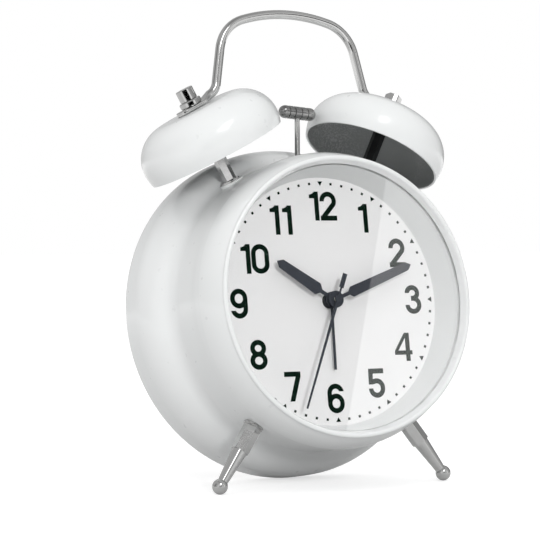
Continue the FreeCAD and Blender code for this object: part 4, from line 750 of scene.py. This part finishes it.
def handle_line():
    """Centre line of the right half of the round rod: (point, outward) pairs, foot to top."""
    foot_line = bell_place(1) @ Vector((0.0, 0.0, BELL_CROWN_Z + HANDLE_RADIUS + HANDLE_CLEARANCE))
    top_z = POST_Z + HANDLE_RISE
    corner_z = top_z - HANDLE_TOP_RADIUS + math.sqrt(
        (HANDLE_TOP_RADIUS - HANDLE_CORNER_RADIUS) ** 2 - HANDLE_CORNER_X**2
    )
    corner = Vector((HANDLE_CORNER_X, 0.0, corner_z))
    side_out = heading(HANDLE_LEAN)
    side_top = corner + side_out * HANDLE_CORNER_RADIUS
    # where the leaning side meets the line along the tab
    tab_heading, side_heading = heading(180 - BELL_TILT), heading(90 + HANDLE_LEAN)
    gap = foot_line - side_top
    turn_between = side_heading.x * tab_heading.z - side_heading.z * tab_heading.x
    along = (gap.x * tab_heading.z - gap.z * tab_heading.x) / turn_between
    foot = side_top + side_heading * along
    # the bend at the foot
    bend = 90 - BELL_TILT - HANDLE_LEAN
    tangent = HANDLE_FOOT_BEND * math.tan(math.radians(bend / 2))
    bend_low = foot - tab_heading * tangent
    bend_centre = bend_low + heading(90 - BELL_TILT) * HANDLE_FOOT_BEND
    line = []
    for share in shares(14):
        up = heading(90 - BELL_TILT - bend * share)
        line.append((bend_centre - up * HANDLE_FOOT_BEND, up))
    # the straight side, the corner and half of the arch
    bend_high = bend_centre - side_out * HANDLE_FOOT_BEND
    line += [(bend_high.lerp(side_top, share), side_out) for share in shares(8)]
    top_angle = math.degrees(math.atan2(corner_z - top_z + HANDLE_TOP_RADIUS, HANDLE_CORNER_X))
    for share in shares(24):
        up = heading(HANDLE_LEAN + (top_angle - HANDLE_LEAN) * share)
        line.append((corner + up * HANDLE_CORNER_RADIUS, up))
    arch_centre = Vector((0.0, 0.0, top_z - HANDLE_TOP_RADIUS))
    for share in shares(8):
        up = heading(top_angle + (90 - top_angle) * share)
        line.append((arch_centre + up * HANDLE_TOP_RADIUS, up))
    return bend_low, line


def handle_rings():
    """Rings from the end of the right tab up to the top of the handle's arch."""
    place = bell_place(1)
    tab_across, tab_up = place.to_3x3().col[1:3]
    middle_z = BELL_CROWN_Z + TAB_THICKNESS / 2
    half, half_thick = TAB_WIDTH / 2, TAB_THICKNESS / 2
    end_centre = TAB_REACH - half

    def tab_ring(x, wide, thick):
        centre = place @ Vector((x, 0.0, middle_z))
        return section(centre, tab_across, tab_up, wide, thick, BAR_POWER)

    rings = []
    # the tab's rounded end, thinner at its edge, then its flat length
    for share in [0.0] + shares(8):
        angle = math.pi / 2 * share
        wide = half * max(TAB_TIP_WIDTH, math.sin(angle))
        thick = half_thick * min(1.0, TAB_TIP_THICKNESS + TAB_TIP_SWELL * math.sin(angle))
        rings.append(tab_ring(end_centre + half * math.cos(angle), wide, thick))
    for share in shares(4):
        rings.append(tab_ring(end_centre + (-TAB_FLAT - end_centre) * share, half, half_thick))
    # the neck, from flat to round
    bend_low, line = handle_line()
    back = Vector((0.0, 1.0, 0.0))
    level = Vector((0.0, (place @ Vector((0.0, 0.0, middle_z))).y, 0.0))
    tab_end = place @ Vector((-TAB_FLAT, 0.0, middle_z))
    neck_end = Vector((bend_low.x, 0.0, bend_low.z)) + level
    for share in shares(12):
        eased = share * share * (3 - 2 * share)
        rings.append(section(
            tab_end.lerp(neck_end, share), tab_across.lerp(back, share).normalized(),
            heading(90 - BELL_TILT), half + (HANDLE_RADIUS - half) * eased,
            half_thick + (HANDLE_RADIUS - half_thick) * eased,
            BAR_POWER + (ROUND_POWER - BAR_POWER) * eased,
        ))
    for point, up in line:
        centre = Vector((point.x, 0.0, point.z)) + level
        rings.append(section(centre, back, up, HANDLE_RADIUS, HANDLE_RADIUS, ROUND_POWER))
    return rings


def nut_rings(place, nut, low):
    """A hexagonal nut with softened corners and a small chamfer at each end."""
    flats, height, chamfer = nut
    outline = []
    for corner in range(6):
        for part in (-1, 0, 1):
            angle = math.radians(NUT_TURN + 60 * corner + part * NUT_CORNER_SPREAD)
            from_flat = math.radians(30 - abs(part) * NUT_CORNER_SPREAD)
            radius = min(flats / math.sqrt(3) * NUT_CORNER_SCALE, flats / 2 / math.cos(from_flat))
            outline.append((math.cos(angle) * radius, math.sin(angle) * radius))
    high = low + height
    levels = (
        (NUT_END_SCALE, low), (1.0, low + chamfer), (1.0, high - chamfer), (NUT_END_SCALE, high)
    )
    return [[place @ Vector((x * scale, y * scale, z)) for x, y in outline] for scale, z in levels]


def lathe_rings(place, profile, sides=48):
    """Rings about a local Z axis from (radius, z) pairs."""
    angles = [2 * math.pi * side / sides for side in range(sides)]
    return [
        [place @ Vector((radius * math.cos(a), radius * math.sin(a), z)) for a in angles]
        for radius, z in profile
    ]


def metal_piece(name, skins, material, node, body, sharp):
    """One piece from several closed skins, in a node's place."""
    points, faces = [], []
    for skin_points, skin_faces in skins:
        start = len(points)
        points += skin_points
        faces += [tuple(start + index for index in face) for face in skin_faces]
    piece = add_mesh(name, points, faces, [material], sharp)
    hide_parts(node)
    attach(piece, body)


right_half = handle_rings()
left_half = [[Vector((-p.x, p.y, p.z)) for p in ring] for ring in reversed(right_half[:-1])]
metal_piece(
    "handle_rod", [ringed(right_half + left_half)],
    POLISHED, "handle", "case", sharp=50.0,
)
nut_low = BELL_CROWN_Z + TAB_THICKNESS
metal_piece(
    "bell_nut_pair", [ringed(nut_rings(bell_place(side), BELL_NUT, nut_low)) for side in (-1, 1)],
    POLISHED, "bell_nuts", "case", sharp=20.0,
)
cap_low = nut_low + BELL_NUT[1]
metal_piece(
    "cap_nut_pair", [ringed(nut_rings(bell_place(side), CAP_NUT, cap_low)) for side in (-1, 1)],
    POLISHED, "bell_cap_nuts", "case", sharp=20.0,
)

swing = Matrix.Translation((0.0, 0.0, POST_Z + HAMMER_PIVOT_RISE)) @ turn_about("Y", HAMMER_ANGLE)
arm_place = swing @ Matrix.Translation((0.0, HAMMER_Y, 0.0))
arm_profile = [(HAMMER_ARM_RADIUS, z) for z in (HAMMER_FOOT, HAMMER_REACH / 2, HAMMER_REACH)]
metal_piece(
    "hammer_rod", [ringed(lathe_rings(arm_place, arm_profile))],
    ARM_STEEL, "hammer_arm", "hammer", sharp=50.0,
)

# the striker's round end, from its tip, then the grooves and the other end
head_end = []
for share in [0.0] + shares(9):
    angle = math.pi / 2 * share
    radius = max(HEAD_TIP_RADIUS, HEAD_RADIUS * math.sin(angle))
    head_end.append((radius, HEAD_LENGTH / 2 - HEAD_END_LENGTH * (1 - math.cos(angle))))
head_profile = [(radius, -z) for radius, z in head_end]
for groove in GROOVES:
    floor_radius = HEAD_RADIUS - GROOVE_DEPTH
    head_profile += [
        (HEAD_RADIUS, groove - GROOVE_MOUTH), (floor_radius, groove - GROOVE_FLOOR),
        (floor_radius, groove + GROOVE_FLOOR), (HEAD_RADIUS, groove + GROOVE_MOUTH),
    ]
head_profile += reversed(head_end)
head_place = arm_place @ Matrix.Translation((0.0, 0.0, HAMMER_REACH)) @ turn_about("Y", 90.0)
metal_piece(
    "hammer_striker", [ringed(lathe_rings(head_place, head_profile))],
    HEAD_STEEL, "hammer_head", "hammer", sharp=40.0,
)


# ---------------------------------------------------------------- camera
camera_data = bpy.data.cameras.new("camera")
camera_data.lens = 150.0
camera_data.sensor_width = 36.0
camera_data.clip_start = 0.01
camera_data.clip_end = 60.0
camera = bpy.data.objects.new("camera", camera_data)
camera.location = (-0.389551, -0.679100, 0.088383)
camera.rotation_euler = [math.radians(angle) for angle in (88.93974, -0.041363, -28.872278)]
bpy.context.scene.collection.objects.link(camera)
bpy.context.scene.camera = camera


# ---------------------------------------------------------------- floor, world and lamps
# Levels count 1 as white. Azimuth is 0 to the front and positive to the right. A lean moves a
# card sideways by that share of its elevation, so that its upright edges slant.
# The dark oval has a centre, half a width and height, an edge that starts and ends at shares of
# these (squared), a level, and the point that the floor measures its bearings from.
DARK_CENTRE = (-33.0, -4.5)
DARK_HALF = (16.0, 7.5)
DARK_EDGE = (0.85, 1.1)
DARK_LEVEL = 0.02
DARK_EYE = (0.0, 0.0, 0.11)  # metres

FLOOR_REACH = 6.0  # metres
FLOOR_GREY = 0.55
FLOOR_GLOW = 0.62
# the glow that metal sees is dimmed near the clock as a painted shadow: from a share at FLOOR_NEAR up to full at
# FLOOR_FAR
FLOOR_NEAR, FLOOR_FAR = 0.25, 1.1  # metres
FLOOR_PAINTED_SHADOW_SHARE = 0.2

ROOM_LEAN = 0.345
ROOM_GREY = 0.8
ROOM_ROUND = (
    (-180, 0.6), (-150, 0.75), (-125, 0.6), (-112, 0.25), (-104, 0.25), (-96, 0.6), (-80, 0.65),
    (-62, 1.0), (-46, 0.95), (-34, 0.75), (-16, 0.45), (0, 0.65), (14, 1.1), (30, 1.0), (44, 0.75),
    (65, 0.6), (85, 0.42), (110, 0.3), (120, 0.08), (134, 0.1), (146, 0.6), (180, 0.6),
)
ROOM_ABOVE = ((-90, 0.6), (36, 0.6), (54, 0.7), (81, 0.4), (90, 0.4))
ROOM_ABOVE_SHARE = ((-90, 0.0), (32.4, 0.0), (45, 1.0), (90, 1.0))

# the flag and card that stand in the glass, with one straight edge between them
PANE_BAND = (6.0, 21.0)
PANE_BAND_SOFT = 0.6
PANE_EDGE = 27.64
PANE_EDGE_SOFT = 0.03
PANE_CARDS = (((19.0, PANE_EDGE), 0.0), ((PANE_EDGE, 40.0), 1.6))

# the window-like softbox that the enamel shows
WINDOW_LEAN = 0.55
WINDOW_ACROSS = (-45.5, -24.0)
WINDOW_UP = (31.0, 53.0)
WINDOW_SOFT = 0.8
WINDOW_LEVEL = 7.0

# the soft light on paint and plastic: less from the front, where the key stands
SOFT_LOW = (
    (-180, 1.0), (-135, 1.0), (-90, 0.6), (-45, 0.15), (0, 0.2), (45, 0.55), (90, 0.95),
    (135, 1.0), (180, 1.0),
)
SOFT_ABOVE_SHARE = ((-90, 0.0), (25, 0.0), (45, 1.0), (90, 1.0))
WHITE = (1.0, 1.0, 1.0)

LAMP_DISTANCE = 1.2  # metres
LAMP_AIM = Vector((0.0, 0.0, 0.07))  # metres


def photographer(tree, azimuth, elevation):
    """1 over the dark oval in front of the clock, where a studio camera stands."""
    squares = []
    for angle, centre, half in zip((azimuth, elevation), DARK_CENTRE, DARK_HALF):
        offset = math_node(tree, "SUBTRACT", angle, math.radians(centre))
        share = math_node(tree, "DIVIDE", offset, math.radians(half))
        squares.append(math_node(tree, "MULTIPLY", share, share))
    return ranged(tree, math_node(tree, "ADD", *squares), 1.0, 0.0, *DARK_EDGE)


def emission(tree, strength):
    node = tree.nodes.new("ShaderNodeEmission")
    plug(tree, [node.inputs["Strength"]], [strength])
    return node.outputs["Emission"]


def floor_material():
    """White floor: it takes the object's shadow, and shows as white to the eye, metal and glass."""
    material, tree, shader, place = new_material("studio_floor")
    shader.inputs["Base Color"].default_value = (FLOOR_GREY, FLOOR_GREY, FLOOR_GREY, 1.0)
    shader.inputs["Roughness"].default_value = 0.9
    shader.inputs["Specular IOR Level"].default_value = 0.0
    path = tree.nodes.new("ShaderNodeLightPath").outputs
    # the glow, dimmed near the clock where metal sees it: a painted shadow of the clock on the floor
    distance = vector_node(tree, "LENGTH", place)["Value"]
    outside_painted_shadow = ranged(tree, distance, FLOOR_PAINTED_SHADOW_SHARE, 1.0, FLOOR_NEAR, FLOOR_FAR)
    mirrored = math_node(tree, "MULTIPLY", path["Is Glossy Ray"], outside_painted_shadow)
    eye = math_node(tree, "MAXIMUM", path["Is Camera Ray"], path["Is Transmission Ray"])
    seen = math_node(tree, "MAXIMUM", eye, mirrored)
    lit = tree.nodes.new("ShaderNodeAddShader")
    glow = emission(tree, math_node(tree, "MULTIPLY", seen, FLOOR_GLOW))
    plug(tree, lit.inputs, (shader.outputs["BSDF"], glow))
    # the dark oval, which reaches below the horizon
    from_clock = vector_node(tree, "SUBTRACT", place, DARK_EYE)["Vector"]
    oval = photographer(tree, *bearings(tree, from_clock))
    dark = math_node(tree, "MULTIPLY", path["Is Glossy Ray"], oval)
    surface = mixed_shader(tree, dark, lit.outputs["Shader"], emission(tree, 0.0))
    tree.links.new(surface, tree.nodes["Material Output"].inputs["Surface"])
    return material


def hung(tree, level, shape, strength):
    """A card or flag of one brightness hung in front of the room."""
    kept = math_node(tree, "MULTIPLY", level, math_node(tree, "SUBTRACT", 1.0, shape))
    return math_node(tree, "ADD", kept, math_node(tree, "MULTIPLY", shape, strength))


def mirror_level(tree, azimuth, elevation):
    """Softboxes and flags round the room, as metal and glass see them."""

    def leaned(share):
        return math_node(tree, "SUBTRACT", azimuth, math_node(tree, "MULTIPLY", elevation, share))

    room_azimuth = leaned(ROOM_LEAN)
    level = blended(
        tree, by_angle(tree, elevation, 180, ROOM_ABOVE_SHARE),
        by_angle(tree, room_azimuth, 360, ROOM_ROUND), by_angle(tree, elevation, 180, ROOM_ABOVE),
    )
    band = between(tree, elevation, PANE_BAND, PANE_BAND_SOFT)
    for limits, strength in PANE_CARDS:
        card = between(tree, room_azimuth, limits, PANE_EDGE_SOFT)
        level = hung(tree, level, math_node(tree, "MULTIPLY", card, band), strength)
    window = math_node(
        tree, "MULTIPLY",
        between(tree, leaned(WINDOW_LEAN), WINDOW_ACROSS, WINDOW_SOFT),
        between(tree, elevation, WINDOW_UP, WINDOW_SOFT),
    )
    level = hung(tree, level, window, WINDOW_LEVEL)
    return hung(tree, level, photographer(tree, azimuth, elevation), DARK_LEVEL)


def background(tree, colour, strength=1.0):
    node = tree.nodes.new("ShaderNodeBackground")
    plug(tree, (node.inputs["Color"], node.inputs["Strength"]), (colour, strength))
    return node.outputs["Background"]


def studio_world():
    """White to the eye, soft light for paint and plastic, and the room for metal and glass."""
    world = bpy.data.worlds.new("studio")
    world.use_nodes = True
    tree = world.node_tree
    tree.nodes.clear()
    around = tree.nodes.new("ShaderNodeTexCoord").outputs["Generated"]
    azimuth, elevation = bearings(tree, around)
    low_light = by_angle(tree, azimuth, 360, SOFT_LOW)
    soft_colour = blended(tree, by_angle(tree, elevation, 180, SOFT_ABOVE_SHARE), low_light, WHITE)
    soft = background(tree, soft_colour)
    room = background(
        tree, (ROOM_GREY, ROOM_GREY, ROOM_GREY, 1.0), mirror_level(tree, azimuth, elevation)
    )
    path = tree.nodes.new("ShaderNodeLightPath").outputs
    mirrored = math_node(tree, "MAXIMUM", path["Is Glossy Ray"], path["Is Transmission Ray"])
    unseen = mixed_shader(tree, mirrored, soft, room)
    surface = mixed_shader(tree, path["Is Camera Ray"], unseen, background(tree, (*WHITE, 1.0)))
    output = tree.nodes.new("ShaderNodeOutputWorld")
    tree.links.new(surface, output.inputs["Surface"])
    return world


def lamp(name, azimuth, elevation, size, watts):
    """A softbox, sized in metres, that faces the clock; metal sees the room's cards instead."""
    data = bpy.data.lights.new(name, "AREA")
    data.shape = "RECTANGLE"
    data.size, data.size_y = size
    data.energy = watts
    light = bpy.data.objects.new(name, data)
    a, e = math.radians(azimuth), math.radians(elevation)
    toward = Vector((math.sin(a) * math.cos(e), -math.cos(a) * math.cos(e), math.sin(e)))
    light.location = LAMP_AIM + toward * LAMP_DISTANCE
    light.visible_glossy = False
    light.rotation_mode = "QUATERNION"
    light.rotation_quaternion = toward.to_track_quat("Z", "Y")
    bpy.context.scene.collection.objects.link(light)


floor_mesh = bpy.data.meshes.new("studio_floor")
floor_corners = box(-FLOOR_REACH, -FLOOR_REACH, FLOOR_REACH, FLOOR_REACH)
floor_mesh.from_pydata([(x, y, 0.0) for x, y in floor_corners], [], [(0, 1, 2, 3)])
floor_mesh.materials.append(floor_material())
floor = bpy.data.objects.new("studio_floor", floor_mesh)
bpy.context.scene.collection.objects.link(floor)

bpy.context.scene.world = studio_world()
lamp("key_softbox", azimuth=-10.0, elevation=17.0, size=(0.2, 0.24), watts=5.8)
lamp("low_left_softbox", azimuth=-75.0, elevation=3.0, size=(0.9, 0.3), watts=2.6)
lamp("top_softbox", azimuth=0.0, elevation=80.0, size=(0.8, 0.8), watts=1.3)
bpy.context.scene.view_settings.view_transform = "Standard"
